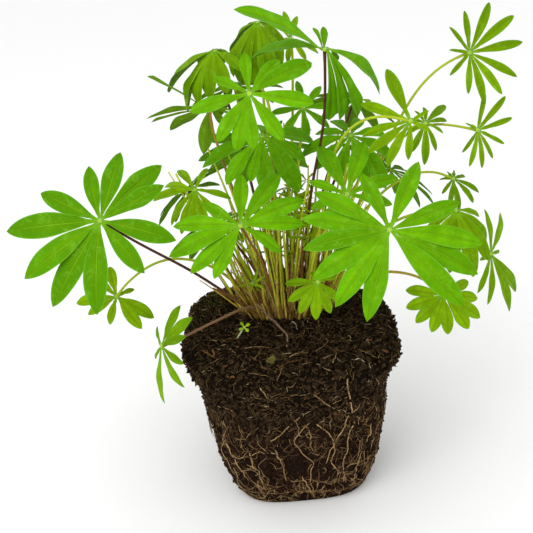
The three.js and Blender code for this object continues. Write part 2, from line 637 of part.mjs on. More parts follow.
/** The whorl of leaflets and its hub, as one closed blade. */
function whorlBlade(leaf) {
  const hub = new THREE.Vector3(...leaf.hub);
  const axes = leafAxes(leaf.face);
  const stations = leaf.stations ?? PLAIN_STATIONS;
  const points = [];
  const triangles = [];
  // A place on the blade: its upper and lower points, one after the other.
  const place = (point, normal, half) => {
    points.push(point.clone().addScaledVector(normal, half));
    points.push(point.clone().addScaledVector(normal, -half));
    return points.length - 2;
  };
  const face = (a, b, c) => triangles.push(a, b, c, a + 1, c + 1, b + 1);
  const edge = (a, b) => triangles.push(a, a + 1, b + 1, a, b + 1, b);
  const hubRadius = leaf.hubRadius ?? HUB_RADIUS;
  const onHub = (degrees) => {
    const angle = degToRad(degrees);
    return place(
      hub.clone()
        .addScaledVector(axes.right, hubRadius * Math.cos(angle))
        .addScaledVector(axes.up, hubRadius * Math.sin(angle)),
      axes.normal,
      BLADE_HALF_THICKNESS,
    );
  };
  const leaflets = leaf.leaflets
    .map(([angle, length, pitch]) => ({ angle: (angle + 720) % 360, length, pitch: pitch ?? leaf.pitch }))
    .sort((a, b) => a.angle - b.angle);
  const centre = place(hub, axes.normal, HUB_KNOB);
  const gaps = leaflets.map(({ angle }, i) => {
    const next = leaflets[(i + 1) % leaflets.length].angle;
    return (next - angle + 360) % 360;
  });
  // The notch after each leaflet is one place, or two where the gap to the next is wide.
  const notches = leaflets.map(({ angle }, i) => {
    const half = gaps[i] / 2;
    if (half <= WIDE_NOTCH) {
      const shared = onHub(angle + half);
      return { start: shared, end: shared };
    }
    return { start: onHub(angle + NOTCH_AT), end: onHub(angle + gaps[i] - NOTCH_AT) };
  });
  notches.forEach(({ start, end }) => {
    if (start !== end) {
      face(centre, start, end);
      edge(start, end);
    }
  });
  leaflets.forEach((leaflet, i) => {
    const before = notches[(i + leaflets.length - 1) % leaflets.length].end;
    const after = notches[i].start;
    face(centre, before, after);
    const narrowest = Math.min(gaps[i], gaps[(i + leaflets.length - 1) % leaflets.length]);
    let row = [before, null, after];
    leafletRows(leaf, leaflet, i, narrowest, axes, hub, stations).forEach(({ centre: p, side, normal }) => {
      if (!side) {
        const tip = points.push(p) - 1;
        triangles.push(row[0], tip, row[1], row[1], tip, row[2]);
        triangles.push(row[0] + 1, row[1] + 1, tip, row[1] + 1, row[2] + 1, tip);
        triangles.push(row[0], row[0] + 1, tip, row[2], tip, row[2] + 1);
        return;
      }
      const next = [
        place(p.clone().sub(side.left), normal, BLADE_HALF_THICKNESS),
        place(p, normal, BLADE_HALF_THICKNESS),
        place(p.clone().add(side.right), normal, BLADE_HALF_THICKNESS),
      ];
      face(row[0], next[0], next[1]);
      if (row[1] === null) {
        face(row[0], next[1], row[2]);
      } else {
        face(row[0], next[1], row[1]);
        face(row[1], next[1], row[2]);
      }
      face(row[2], next[1], next[2]);
      edge(row[0], next[0]);
      edge(next[2], row[2]);
      row = next;
    });
  });
  return indexedGeometry(points, triangles);
}

/** The places along one leaflet: its middle, its two sides and the way it faces. */
function leafletRows(leaf, leaflet, index, narrowest, axes, hub, stations) {
  const seed = (leaf.seed ?? LEAVES.indexOf(leaf)) * SEEDS.leaf + index;
  const angle = degToRad(leaflet.angle);
  const [cos, sin] = [Math.cos(angle), Math.sin(angle)];
  const out = axes.right.clone().multiplyScalar(cos).addScaledVector(axes.up, sin);
  const across = axes.up.clone().multiplyScalar(cos).addScaledVector(axes.right, -sin);
  const hubRadius = leaf.hubRadius ?? HUB_RADIUS;
  const length = leaflet.length - hubRadius;
  const pitch = degToRad(leaflet.pitch + PITCH_SPREAD * swing(seed + SEEDS.pitch));
  const bend = degToRad(leaf.bend * (1 + BEND_SPREAD * swing(seed + SEEDS.bend)));
  const twist = degToRad(LEAFLET_TWIST * swing(seed + SEEDS.twist));
  const sweep = LEAFLET_SWEEP * swing(seed + SEEDS.sweep) * length;
  const fold = degToRad(LEAFLET_FOLD + Math.max(0, -leaflet.pitch) * DROOP_FOLD);
  const halfWidth = 0.5 * (leaf.width ?? LEAFLET_WIDTH) * leaflet.length;
  const roomPerLength = NEIGHBOUR_SHARE * degToRad(narrowest) * Math.cos(pitch);
  const start = hub.clone().addScaledVector(out, hubRadius);
  const along = (share) => {
    const turned = pitch - bend * share;
    const forward = (length * (Math.sin(pitch) - Math.sin(turned))) / bend;
    const raised = (length * (Math.cos(turned) - Math.cos(pitch))) / bend;
    const point = start.clone()
      .addScaledVector(out, forward)
      .addScaledVector(axes.normal, raised)
      .addScaledVector(across, sweep * share * share);
    const normal = axes.normal.clone()
      .multiplyScalar(Math.cos(turned))
      .addScaledVector(out, -Math.sin(turned));
    return { point, normal };
  };
  const rows = stations.map((share) => {
    const { point, normal } = along(share);
    const half = Math.min(halfWidth * outline(share), roomPerLength * (hubRadius + length * share));
    const turn = twist * share;
    const side = (tilt) => across.clone().multiplyScalar(half * Math.cos(tilt))
      .addScaledVector(normal, half * Math.sin(tilt));
    return { centre: point, side: { left: side(turn - fold), right: side(turn + fold) }, normal };
  });
  rows.push({ centre: along(1).point });
  return rows;
}

/** One leaf: stalk, hub and leaflets grown together. */
function leafSolid(leaf, foot) {
  const stalk = solid(tube(stalkCurve(leaf, foot), STALK_RADIUS, STALK_STEPS, STALK_SIDES));
  return solid(whorlBlade(leaf)).add(stalk);
}

/** The plain hole in the crown that a leaf's stalk stands in. */
function socket(leaf, foot) {
  const [start, next] = stalkCurve(leaf, foot).getSpacedPoints(STALK_STEPS);
  const away = next.clone().sub(start).normalize();
  const line = new THREE.LineCurve3(
    start.clone().addScaledVector(away, -GAP),
    start.clone().addScaledVector(away, SOCKET_REACH),
  );
  return solid(tube(line, STALK_RADIUS * Math.SQRT2 + GAP, 1, STALK_SIDES));
}

// ---- On the compost -----------------------------------------------------------------------------

/** The dead stalk that lies in the compost, or the groove that it lies in. */
function deadStalk(margin) {
  const curve = new THREE.CatmullRomCurve3(DEAD_STALK.route.map((point) => new THREE.Vector3(...point)));
  return solid(tube(curve, DEAD_STALK.radius + margin, DEAD_STALK.steps, DEAD_STALK.sides));
}

/** The seedling's stem, or the hole that it stands in. */
function seedlingStem(margin) {
  const root = new THREE.Vector3(...SEEDLING_STEM.root);
  const hub = new THREE.Vector3(...SEEDLING.hub);
  const low = root.clone().addScaledVector(hub.clone().sub(root).normalize(), -margin);
  return solid(tube(new THREE.LineCurve3(low, hub), SEEDLING_STEM.radius + margin, 1, SEEDLING_STEM.sides));
}

/** The leaf scrap, or the hollow that it lies in. */
function leafScrap(margin) {
  const [half, side] = [SCRAP.length / 2 + margin, SCRAP.width / 2 + margin];
  const outlineShape = new THREE.Shape(SCRAP_OUTLINE.map(([x, y]) => new THREE.Vector2(half * x, side * y)));
  const flake = new THREE.ExtrudeGeometry(outlineShape, {
    depth: SCRAP.thickness + 2 * margin,
    bevelEnabled: false,
  });
  flake.translate(0, 0, -margin);
  flake.rotateX(degToRad(SCRAP.tilt));
  flake.rotateZ(degToRad(SCRAP.turn));
  flake.translate(...SCRAP.at);
  return solid(flake);
}

// ---- Assembly -----------------------------------------------------------------------------------

const group = new THREE.Group();

/** Adds a named piece in its own finish. */
function addPiece(name, body, finish) {
  const mesh = new THREE.Mesh(geometryOf(body), new THREE.MeshStandardMaterial(FINISHES[finish]));
  mesh.name = name;
  group.add(mesh);
}

const places = standingPlaces();
const stalkFeet = places.slice(0, LEAVES.length);
const stubFeet = places.slice(LEAVES.length);
const hollows = [stock(GAP), seedlingStem(GAP), leafScrap(GAP), deadStalk(GAP)];

addPiece('root_ball', rootBall(hollows), 'soil');
addPiece('roots', roots(), 'root');
addPiece('crown', crown(stalkFeet, stubFeet), 'crown');
addPiece('dead_stalk', deadStalk(0), 'dead');
addPiece('seedling', solid(whorlBlade(SEEDLING)).add(seedlingStem(0)), 'sprout');
addPiece('leaf_scrap', leafScrap(0), 'scrap');
LEAVES.forEach((leaf, index) => addPiece(leaf.name, leafSolid(leaf, stalkFeet[index]), leaf.colour));

export default group;
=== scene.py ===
"""A young lupin plant lifted out of its pot: leaves on long stalks, a crown of old stalk bases, and a ball
of compost held by its roots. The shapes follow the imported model, and tables of places are in millimetres.
"""
import math
from collections import namedtuple

import bmesh
import bpy
import numpy as np
from mathutils import Matrix, Vector, noise
from mathutils.bvhtree import BVHTree


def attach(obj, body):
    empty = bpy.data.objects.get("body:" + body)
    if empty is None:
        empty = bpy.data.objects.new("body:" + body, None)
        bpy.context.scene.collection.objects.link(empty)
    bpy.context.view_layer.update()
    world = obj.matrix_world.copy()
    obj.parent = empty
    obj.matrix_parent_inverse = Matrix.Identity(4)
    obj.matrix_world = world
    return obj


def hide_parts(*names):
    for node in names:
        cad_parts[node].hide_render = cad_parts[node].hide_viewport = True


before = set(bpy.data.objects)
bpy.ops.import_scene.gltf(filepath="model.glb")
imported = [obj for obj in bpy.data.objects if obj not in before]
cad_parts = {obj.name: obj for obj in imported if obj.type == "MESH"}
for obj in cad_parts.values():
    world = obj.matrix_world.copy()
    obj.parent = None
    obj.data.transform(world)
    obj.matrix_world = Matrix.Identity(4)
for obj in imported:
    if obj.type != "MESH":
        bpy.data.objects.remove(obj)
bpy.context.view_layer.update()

bl_info = {
    "name": "Young lupin plant",
    "version": (1, 0, 0),
    "blender": (4, 5, 0),
    "location": "View3D > Sidebar > Lupin",
    "description": "Dresses a lupin plant and its root ball with leaves, roots, compost and moss",
    "category": "Object",
}

MM = 0.001
BODY = "root"

# Small meshes that are laid out again and again: steps along, then steps across or sides round.
BLADE_GRID = (18, 8)
SMALL_BLADE_GRID = (8, 4)
STALK_TUBE = (26, 8)
DEAD_STALK_TUBE = (26, 7)
STRONG_ROOT_TUBE = (26, 6)
FINE_ROOT_TUBE = (8, 4)
BASE_TUBE = (8, 6)
TWIG_TUBE = (8, 5)
FIBRE_TUBE = (4, 4)

# Where the repeatable draws for each use start.
DRAW_STARTS = {
    "plain": 0, "leaflet_tone": 5, "leaflet_pitch": 11, "leaflet_bend": 23, "leaflet_twist": 37,
    "leaflet_sweep": 53, "leaflet_wave": 71, "stalk_tone": 40, "stalk_wave": 300, "stub_radius": 60,
    "stub_height": 90, "twig_tone": 640, "ring_height": 57, "ring_tone": 980, "root_low": 700,
    "root_high": 800, "root_radius": 950, "root_tone": 960, "root_finish": 970,
}

# Finishes, in the order of the material slots of the pieces that have them.
UPPER, UNDER, STALK, HUB, HAIR = range(5)
STOCK, OCHRE, BROWN, STANDING, SHREDS, FOLDED = range(6)
CRUMB, BARK = range(2)
CREAM, TAN = range(2)
TWIG_TAN, ROOT_WHITE, TWIG_BARK = range(3)

# ---- Root ball -------------------------------------------------------------------------------------
# Height, half-width and squareness of each section, as the pot moulded it.
BALL_SECTIONS = [
    (0, 49.5, 3.2), (14, 56.5, 3.2), (34, 61.5, 3.1), (50, 64.5, 3), (68, 66.5, 2.9), (84, 67.5, 2.8),
    (94, 69.5, 2.7), (103, 74, 2.7), (110, 78.5, 2.7), (116, 77, 2.8), (120, 68, 2.8), (122.5, 50, 2.5),
    (123.5, 26, 2.2), (124, 0, 2),
]
MOULDED_HEIGHT = 88  # the wall is smooth below this and crumbly above
CRUMBLE_BELOW = 14  # how far below that height the first crumbs are
CRUMBLE_SPAN = 26  # how far up from there the compost is wholly loose
WALL_RELIEF = 0.5
CRUMB_RELIEF = 2.2
CRUMB_LIFT = 1.1
CALM_MIDDLE = 20  # half-width inside which the lumps fade
CALM_FOOT = 3  # height below which the crumbs fade
FOOT_TOUCH = 1e-4  # a height that counts as the underside

# The loose compost that bulges at the back left: its heading and spread in degrees, its reach, the height
# where it starts and its rise from there, and how far out it is full.
BULGE_HEADING = 127
BULGE_SPREAD = 20
BULGE_REACH = 12
BULGE_FOOT = 92
BULGE_RISE = 10
BULGE_OUT = 60

# Relief of the compost: scales of its crumbs, grit, swells and pits, and how far the first three stand out.
CRUMB_SCALE = 0.22
GRIT_SCALE = 0.55
SWELL_SCALE = 0.07
PIT_SCALE = 0.16
PIT_OFFSET = (9, 4, 2)
PIT_DEPTH = 5
LOOSE_HEIGHTS = (2.4, 1.6, 1.4)
WALL_HEIGHTS = (1.1, 1.1, 0.9)

# Meshes of the ball: stride along its profile, columns round it, and whether it has its relief.
BALL_GRID = (1.25, 340, True)
ROOT_SKIN = (2.5, 170, True)
PLAIN_SKIN = (6, 80, False)
ROW_WEIGHT = 31.7  # weights of y and z where points are numbered by place
LEVEL_WEIGHT = 977.3

# Bits scattered on the compost: seed, range of heights, range of radii, shape, sinking and leaning.
Scatter = namedtuple("Scatter", "seed low high radii shape sink jumble")
TOP_CRUMBS = Scatter(11, MOULDED_HEIGHT - 12, math.inf, (0.45, 2.0), (1.25, 0.75, 0.65), 0.3, 1.2)
LOW_CRUMBS = Scatter(12, 4, MOULDED_HEIGHT, (0.35, 1.5), (1, 0.8, 0.5), 0.35, 0.6)
UPPER_CRUMBS = Scatter(15, 62, MOULDED_HEIGHT, (0.45, 1.8), (1.2, 0.75, 0.6), 0.3, 1.0)
BARK_BITS = Scatter(13, MOULDED_HEIGHT - 4, math.inf, (1.0, 3.0), (1.3, 0.55, 0.25), 0.2, 0.9)
BARK_COUNT = 70
LOW_CRUMB_SHARE = 3  # one low crumb for so many on the top
UPPER_CRUMB_SHARE = 5
LUMP_KINDS = 8
LUMP_ROUGHNESS = 0.75
LUMP_STRETCH = (0.75, 1.3)
SMALL_BIAS = 2.2  # how much commoner small lumps are
FIBRE_SEED = 14
FIBRE_LOW = MOULDED_HEIGHT - 36
FIBRE_STRIDES = (0.4, 2.0)
FIBRE_LIFTS = (0.6, 1.8)
FIBRE_RISE = 0.8
FIBRE_RADII = (0.10, 0.30)
PALE_FIBRES = 0.10  # share
WANDER = 0.30  # how much fibres and roots turn at each step

# ---- Roots -----------------------------------------------------------------------------------------
ROOT_SEED = 77
ROOT_STRANDS = 14
ROOT_STRAND_STEPS = 6
ROOT_STRAND_RADII = (0.34, 0.2)
ROOT_STRAND_LIFT = 0.45
ROOT_STRAND_SIZES = (0.8, 0.5)  # the least share of those radii, and what is added at most
ROOT_STRAND_DRAWS = 31  # draws kept for each strand
TAN_STRANDS = 0.4  # share
ROOT_LOW = 3
ROOT_LOW_SPREAD = 2
ROOT_HIGH = 84
ROOT_HIGH_SPREAD = 10
ROOT_WANDER = 7  # degrees to each side
ROOT_WAVE = 0.7
ROOT_WAVE_TURN = 1.3
ROOT_TAPER = 0.6
RING_HEIGHT = 11
RING_SWAY = 2.5
RING_RADIUS = 0.35
RING_LIFT = 0.4
RING_STEPS = 26
RING_REACH = 0.985  # share of the way round
RING_PARTS = 4
RING_PART_STEPS = 6
FINE_ROOT_LENGTHS = (5, 24)  # the shortest, and what is added at most
FINE_ROOT_RADII = (0.12, 0.32)
FINE_ROOT_LOW = 6
FINE_ROOT_BIAS = 1.35  # how much commoner they are low down
SHORT_ROOT_BIAS = 1.6  # how much commoner short ones are
FINE_ROOT_LIFT = 0.5
FINE_ROOT_FALL = 0.03
FINE_ROOT_SPREAD = 0.6
DOWNWARD_ROOTS = 0.75  # share of the fine roots that grow downwards
FLOOR_CLEARANCE = 0.2
BRANCH_SPREAD = 0.8
BRANCH_LIFT = 0.45
BRANCH_SHORTENING = 0.4
BRANCH_THINNING = 0.7

# Roots that show on the front of the wall: radius, then the heading in degrees and the height of each point.
FRONT_ROOTS = [
    (0.50, [(-85, 115), (-80, 102), (-71, 89), (-63, 81), (-59, 79)]),
    (0.72, [(-63, 118), (-65, 110), (-60, 90), (-59, 81), (-62, 76), (-64, 69), (-68, 61), (-73, 48),
            (-75, 40)]),
    (0.40, [(-70, 92), (-64, 94), (-61, 97)]),
    (0.40, [(-60, 79), (-56, 75), (-54, 72)]),
    (0.50, [(-47, 106), (-38, 89), (-28, 75)]),
    (0.45, [(-108, 115), (-106, 111), (-104, 105)]),
    (0.45, [(-108, 65), (-102, 70), (-91, 82), (-83, 89)]),
    (0.45, [(-95, 87), (-92, 79), (-90, 73)]),
    (0.50, [(-87, 76), (-84, 69), (-84, 58), (-80, 48)]),
    (0.40, [(-141, 88), (-127, 88), (-125, 80), (-125, 66)]),
    (0.55, [(-80, 77), (-72, 64), (-70, 51), (-72, 39)]),
    (0.60, [(-57, 71), (-61, 64), (-62, 48), (-64, 35), (-61, 16)]),
    (0.50, [(-106, 57), (-103, 42), (-102, 24)]),
    (0.60, [(-121, 54), (-121, 42), (-118, 30), (-118, 17)]),
    (0.60, [(-46, 63), (-46, 55), (-50, 50)]),
    (0.55, [(-139, 60), (-134, 51), (-131, 39), (-128, 23)]),
    (0.45, [(-72, 42), (-67, 28), (-69, 16)]),
    (0.50, [(-53, 39), (-55, 23), (-56, 11)]),
    (0.50, [(-91, 28), (-87, 17), (-85, 7)]),
    (0.40, [(-138, 75), (-134, 69), (-140, 52)]),
]
FRONT_ROOT_THINNING = 0.8
FRONT_ROOT_CROOK = 0.8
FRONT_ROOT_CROOKS = 0.35  # how close together its crooks are
FRONT_ROOT_TONES = (0.35, 1)
# Where the fine roots are thickest: heading, height and their spreads.
ROOT_THICKETS = [(-122, 22, 13, 20), (-58, 22, 11, 18), (-85, 14, 16, 10)]
THICKET_ROOTS = 45
THICKET_LOW = 4

# ---- Crown -----------------------------------------------------------------------------------------
CROWN_SEED = 24
CROWN_MIDDLE = (0, 24)
CROWN_HALF = (39, 24)
CROWN_BOTTOM = 110
CROWN_TOP = 130
CROWN_FLAT = 0.5  # share of the half-widths out to which its top is level
CROWN_SLOPE = 4
CROWN_RIM = 0.82
CROWN_FLARE = 0.012
CROWN_REACH = 0.2
CROWN_FILL = 0.9
STOCK_SEED = 3
STOCK_ROUGHNESS = 0.3
GOLDEN_ANGLE = 2.39996
STUB_COUNT = 16
STUB_RADIUS = 1.6
STUB_SIZES = (0.8, 0.4)  # the least share of that radius, and what is added at most
STUB_HEIGHT = (10, 21)
STALK_SPACING = 6
STUB_SPACING = 4.8
STALK_SOCKET = 5
PUSH_ROUNDS = 80
OCHRE_BASES = 0.6  # share

# Old bases close beside each stalk.
SIDE_BASES = 2
SIDE_SPREAD = 1.9
SIDE_HEIGHTS = (9, 34)
SIDE_RADII = (0.5, 1.1)

# Old stalks and bases all over the crown: range of heights and of radii, how many, finish and sway.
CROWN_BUNCHES = [
    ((58, 132), (0.6, 1.05), 72, STANDING, 0.055), ((8, 70), (0.45, 1.0), 120, None, 0.09),
    ((6, 32), (0.5, 1.2), 130, None, 0.32), ((10, 46), (0.3, 0.55), 70, SHREDS, 0.22),
]
BASE_SWAY = 0.10
BASE_CURL = 0.7  # share of its sway by which a base curls
BASE_TAPER = (1.25, 0.6)
LOW_BIAS = 1.4  # how much commoner low bases are

# Small folded leaves among the stalks: how many, and the ranges of their places, turns and leaflets.
YOUNG_LEAVES = 22
YOUNG_X = (-20, 30)
YOUNG_Y = (-6, 40)
YOUNG_Z = (150, 226)
YOUNG_HEADINGS = (-40, 40)
YOUNG_TILTS = (40, 80)
YOUNG_PITCHES = (-30, 40)
YOUNG_BEND = 20
YOUNG_COUNTS = (5, 8)
YOUNG_LENGTHS = (9, 19)
YOUNG_STARTS = (0, 60)
YOUNG_HUB = 1.4
YOUNG_THICKNESS = 0.5

# ---- Leaves ----------------------------------------------------------------------------------------
HUB_RADIUS = 2.8
HUB_DOME = (HUB_RADIUS * 0.66, 1.0)  # radius and height of the dome over a leaf's middle
NEIGHBOUR_SHARE = 0.66  # of the angle to its neighbour that a leaflet's half may take
HANGING_SHARE = 0.85  # the same where leaflets hang and overlap
HANGING_PITCH = -20
FOLD = 13  # degrees by which each half of a leaflet is folded up
DROOP_FOLD = 0.22  # degrees more for each degree that it droops
LEAF_DRAWS = 100  # draws kept for each leaf
SHINGLE = 6  # degrees by which each leaflet lies over the next
PITCH_SWING = 4
BEND_SWING = 0.3
TWIST_SWING = 9
SWEEP_SWING = 0.05
BARE_BASE = 1.3  # how far out a blade starts
BASE_HALF = 0.75  # half-width where a blade starts
BASE_LENGTH = 0.3  # share of a blade in which it narrows to that
NECK_HALF = 1.5
NECK_LENGTH = 0.4
NECK_ROOM = 0.8
BELLY = 0.07
WAVE = 0.07
WAVE_COUNT = 2.1
MARGIN_THINNING = 0.55
TIP_THINNING = 0.5
TONE_SWING = 0.38
PAINTED_LIGHT_LIFT = 0.16  # painted light: leaflets that point down are painted lighter than those that point up
STALK_END = 0.7  # how far below the hub's centre a stalk ends
STALK_TAPER = (1.12, 0.28)
STALK_CLASP = (0.5, 14)  # how much thicker it is at its base, and how soon that fades
STALK_NECK = (0.35, 30)
STALK_WOBBLE = 0.7
STALK_WAVES = 11
HAIR_SEED = 900
HUB_HAIRS = 46
HUB_HAIR_RADIUS = 0.07
HUB_HAIR_REACH = (0.2, 0.95)
HUB_HAIR_BASE = 0.9
HUB_HAIR_SLANT = (0.8, 0.6)  # outwards and up from the hub
STALK_HAIRS = 70
STALK_HAIR_RADIUS = 0.05
STALK_HAIR_BASE = 0.6
STALK_HAIR_LENGTH = 1.3
HAIRY_STALK = (60, 14)  # steps of a stalk, and the step from which it has hairs

Leaf = namedtuple("Leaf", "name hub face pitch bend colour elbow rise leaflets")


def whorl(count, length, first):
    """Evenly spaced leaflets of one length, the first at the given angle."""
    return [(first + 360 / count * index, length) for index in range(count)]


# hub: the centre of the whorl. face: heading and tilt of the upper side in degrees, where heading 0 looks
# to the front, 90 to +X, and tilt 90 looks up. Then the leaflets' pitch and bend, the colour, the point
# that the stalk steers by and how far it goes straight. leaflets: (angle, length) or (angle, length, pitch).
LEAVES = [
    Leaf("leaf_left_large", (-118, -50, 236), (-6, 34), 5, 18, "mature", (-88, -37, 205), 0.12,
         [(72, 49), (44, 55), (25, 48), (345, 52), (310, 46), (265, 62), (239, 65), (214, 63),
          (182, 66), (152, 48), (103, 39)]),
    Leaf("leaf_left_low", (-124, 10, 153), (0, 45), 0, 15, "fresh", (-100, 14, 187), 0.62,
         [(102, 26), (135, 22), (180, 32), (209, 25), (251, 22), (301, 31), (327, 32), (22, 14)]),
    Leaf("leaf_left_middle", (-57, 0, 233), (-10, 52), -14, 26, "fresh", (-54, 8, 200), 0.4,
         [(75, 25), (123, 32), (155, 34), (176, 38), (226, 31), (251, 33), (271, 30), (291, 30),
          (313, 30), (358, 27)]),
    Leaf("leaf_centre_large", (-27, -47, 222), (0, 46), 3, 20, "mature", (-15, -22, 186), 0.25,
         [(85, 41), (52, 48), (23, 48), (0, 43), (330, 34, -20), (240, 40), (221, 46), (196, 52),
          (170, 46), (142, 32)]),
    Leaf("leaf_upper_centre", (-13, -42, 309), (0, 36), 2, 24, "mature", (8, 60, 302), 0.7,
         [(148, 26), (192, 40), (229, 37), (250, 38), (267, 36), (300, 37), (346, 42), (28, 48),
          (50, 33), (93, 29)]),
    Leaf("leaf_top_arched", (39, -6, 324), (25, 68), -12, 38, "mature", (37, -8, 250), 0.5,
         [(25, 26, -30), (68, 18, 50), (98, 18, 60), (124, 64, -14), (155, 67, 36), (272, 51, -50),
          (288, 51, -40), (303, 54, -40), (345, 62, -22)]),
    Leaf("leaf_top_umbrella", (-3, 60, 332), (0, 76), -36, 34, "deep", (-3, 54, 288), 0.45,
         [(162, 38), (216, 43), (240, 46), (261, 47), (283, 44), (306, 38), (340, 28), (50, 28),
          (106, 28)]),
    Leaf("leaf_upper_left_umbrella", (-34, 28, 322), (-20, 74), -38, 30, "deep", (-31, 46, 276), 0.45,
         [(146, 28, -36), (184, 52, -28), (210, 50, -40), (237, 40), (266, 34), (297, 32),
          (338, 24, -20), (45, 26), (105, 28)]),
    Leaf("leaf_left_underside", (-41, 15, 286), (172, 60), -6, 12, "deep", (-45, 24, 250), 0.45,
         [(35, 48), (5, 42), (355, 53, 38), (322, 44), (290, 39, -40), (256, 28, -20), (70, 32),
          (120, 28), (175, 24), (216, 24)]),
    Leaf("leaf_centre_hanging", (-7, 6, 265), (0, 60), -20, 26, "mature", (-6, 12, 236), 0.45,
         [(186, 50), (220, 42), (247, 33), (271, 41), (305, 47), (342, 36), (20, 52), (86, 28),
          (134, 30)]),
    Leaf("leaf_right_centre", (90, -32, 278), (-14, 40), -2, 18, "fresh", (37, -20, 296), 0.72,
         [(115, 44), (158, 38), (192, 34), (219, 35), (243, 34), (270, 26), (330, 16, 20),
          (22, 14, 30)]),
    Leaf("leaf_right_centre_small", (106, 8, 263), (20, 50), -8, 20, "deep", (76, 10, 262), 0.5,
         [(6, 22), (31, 30), (62, 20), (95, 14), (140, 14), (190, 16), (226, 24), (250, 30), (275, 21),
          (328, 16)]),
    Leaf("leaf_far_right_top", (142, 30, 304), (10, 28), 6, 16, "fresh", (98, 24, 298), 0.5,
         [(3, 42), (32, 45), (56, 42), (88, 30), (119, 23), (166, 15), (220, 22), (257, 29), (278, 37),
          (299, 37), (325, 38)]),
    Leaf("leaf_far_right", (143, 10, 254), (12, 30), 2, 16, "fresh", (88, 26, 270), 0.74,
         [(8, 29), (40, 34), (72, 27, 20), (138, 10), (226, 20), (247, 27), (269, 27), (290, 23),
          (323, 22)]),
    Leaf("leaf_right_small", (127, 20, 216), (20, 45), -10, 28, "deep", (99, 20, 240), 0.55,
         [(8, 15), (60, 8, 10), (110, 7, 20), (160, 10), (216, 14), (244, 20), (263, 24), (306, 25),
          (329, 24)]),
    Leaf("leaf_right_umbrella", (121, -20, 207), (10, 62), -26, 22, "deep", (104, -12, 214), 0.36,
         [(190, 30), (222, 38), (250, 44), (276, 48), (302, 42), (330, 34), (5, 24), (70, 18),
          (130, 22)]),
    Leaf("leaf_right_front_large", (66, -90, 227), (2, 36), 4, 16, "mature", (50, -58, 206), 0.3,
         [(61, 50), (15, 49), (349, 60), (330, 63), (306, 66), (247, 60), (227, 60), (205, 58),
          (184, 56), (164, 56), (146, 54), (107, 42)]),
    Leaf("leaf_crown_front", (22, -28, 167), (0, 50), -10, 16, "fresh", (14, -14, 160), 0.3,
         [(172, 24), (207, 25), (233, 26), (259, 27), (286, 24), (316, 21), (20, 15), (110, 11)]),
    Leaf("leaf_right_low", (105, -55, 161), (6, 42), -4, 18, "fresh", (84, -32, 186), 0.34,
         [(160, 26), (190, 27), (217, 27), (243, 27), (268, 27), (301, 29), (325, 30), (350, 26),
          (22, 23), (95, 18)]),
    Leaf("leaf_right_edge", (147, -10, 168), (40, 20), -8, 14, "deep", (134, -2, 228), 0.66,
         [(59, 35), (30, 45), (350, 16), (307, 54), (286, 52), (259, 38), (236, 30), (178, 18, 20)]),
    Leaf("leaf_centre_right", (45, -42, 235), (0, 50), 4, 20, "mature", (38, -22, 212), 0.42,
         [(18, 37), (69, 46), (108, 47), (150, 28), (195, 26), (225, 24), (255, 24), (285, 24),
          (343, 31)]),
    Leaf("leaf_centre_dark", (54, 8, 259), (0, 58), -18, 22, "mature", (47, 12, 232), 0.46,
         [(173, 42), (212, 34), (246, 34), (280, 36), (308, 45), (340, 34), (20, 30), (65, 30),
          (110, 32), (142, 32)]),
    Leaf("leaf_inner_top", (25, 58, 268), (8, 44), 0, 16, "mature", (22, 54, 238), 0.46,
         whorl(8, 25, 88)),
    Leaf("leaf_inner_back", (21, 86, 313), (0, 60), -16, 22, "fresh", (24, 74, 272), 0.48,
         [(72, 21, 30), (96, 23, 40), (120, 22, 30), (172, 15), (258, 20), (303, 20), (341, 24)]),
    Leaf("leaf_young_left", (-24, 0, 158), (0, 60), 34, 10, "young", (-22, 6, 148), 0.3,
         whorl(7, 13, 5)),
    Leaf("leaf_young_right", (9, 0, 200), (0, 62), 30, 10, "young", (9, 6, 180), 0.4,
         whorl(7, 14, 20)),
    Leaf("leaf_beside_soil", (-90, -46, 138), (-58, 22), -4, 12, "deep", (-58, -30, 138), 0.3,
         [(77, 33), (54, 35), (34, 26), (349, 25), (325, 36), (279, 42), (244, 14), (150, 18)]),
    Leaf("leaf_back_left_low", (-48, 88, 172), (205, 46), -4, 22, "mature", (-40, 68, 176), 0.42,
         whorl(10, 44, 12)),
    Leaf("leaf_back_left", (-66, 62, 212), (232, 44), -2, 20, "mature", (-52, 52, 196), 0.42,
         whorl(9, 36, 28)),
    Leaf("leaf_back_centre", (-10, 118, 222), (184, 40), 2, 20, "mature", (-8, 92, 214), 0.44,
         whorl(10, 50, 2)),
    Leaf("leaf_back_right_low", (42, 92, 166), (160, 48), -6, 22, "mature", (36, 74, 172), 0.42,
         whorl(10, 42, 20)),
    Leaf("leaf_back_right", (90, 82, 206), (128, 42), 0, 20, "mature", (70, 66, 194), 0.4,
         whorl(10, 46, 8)),
    Leaf("leaf_back_right_top", (66, 96, 258), (146, 52), -4, 22, "deep", (54, 76, 240), 0.46,
         whorl(9, 38, 16)),
    Leaf("leaf_back_top", (-24, 92, 280), (196, 56), -8, 24, "deep", (-20, 74, 256), 0.46,
         whorl(9, 38, 4)),
]

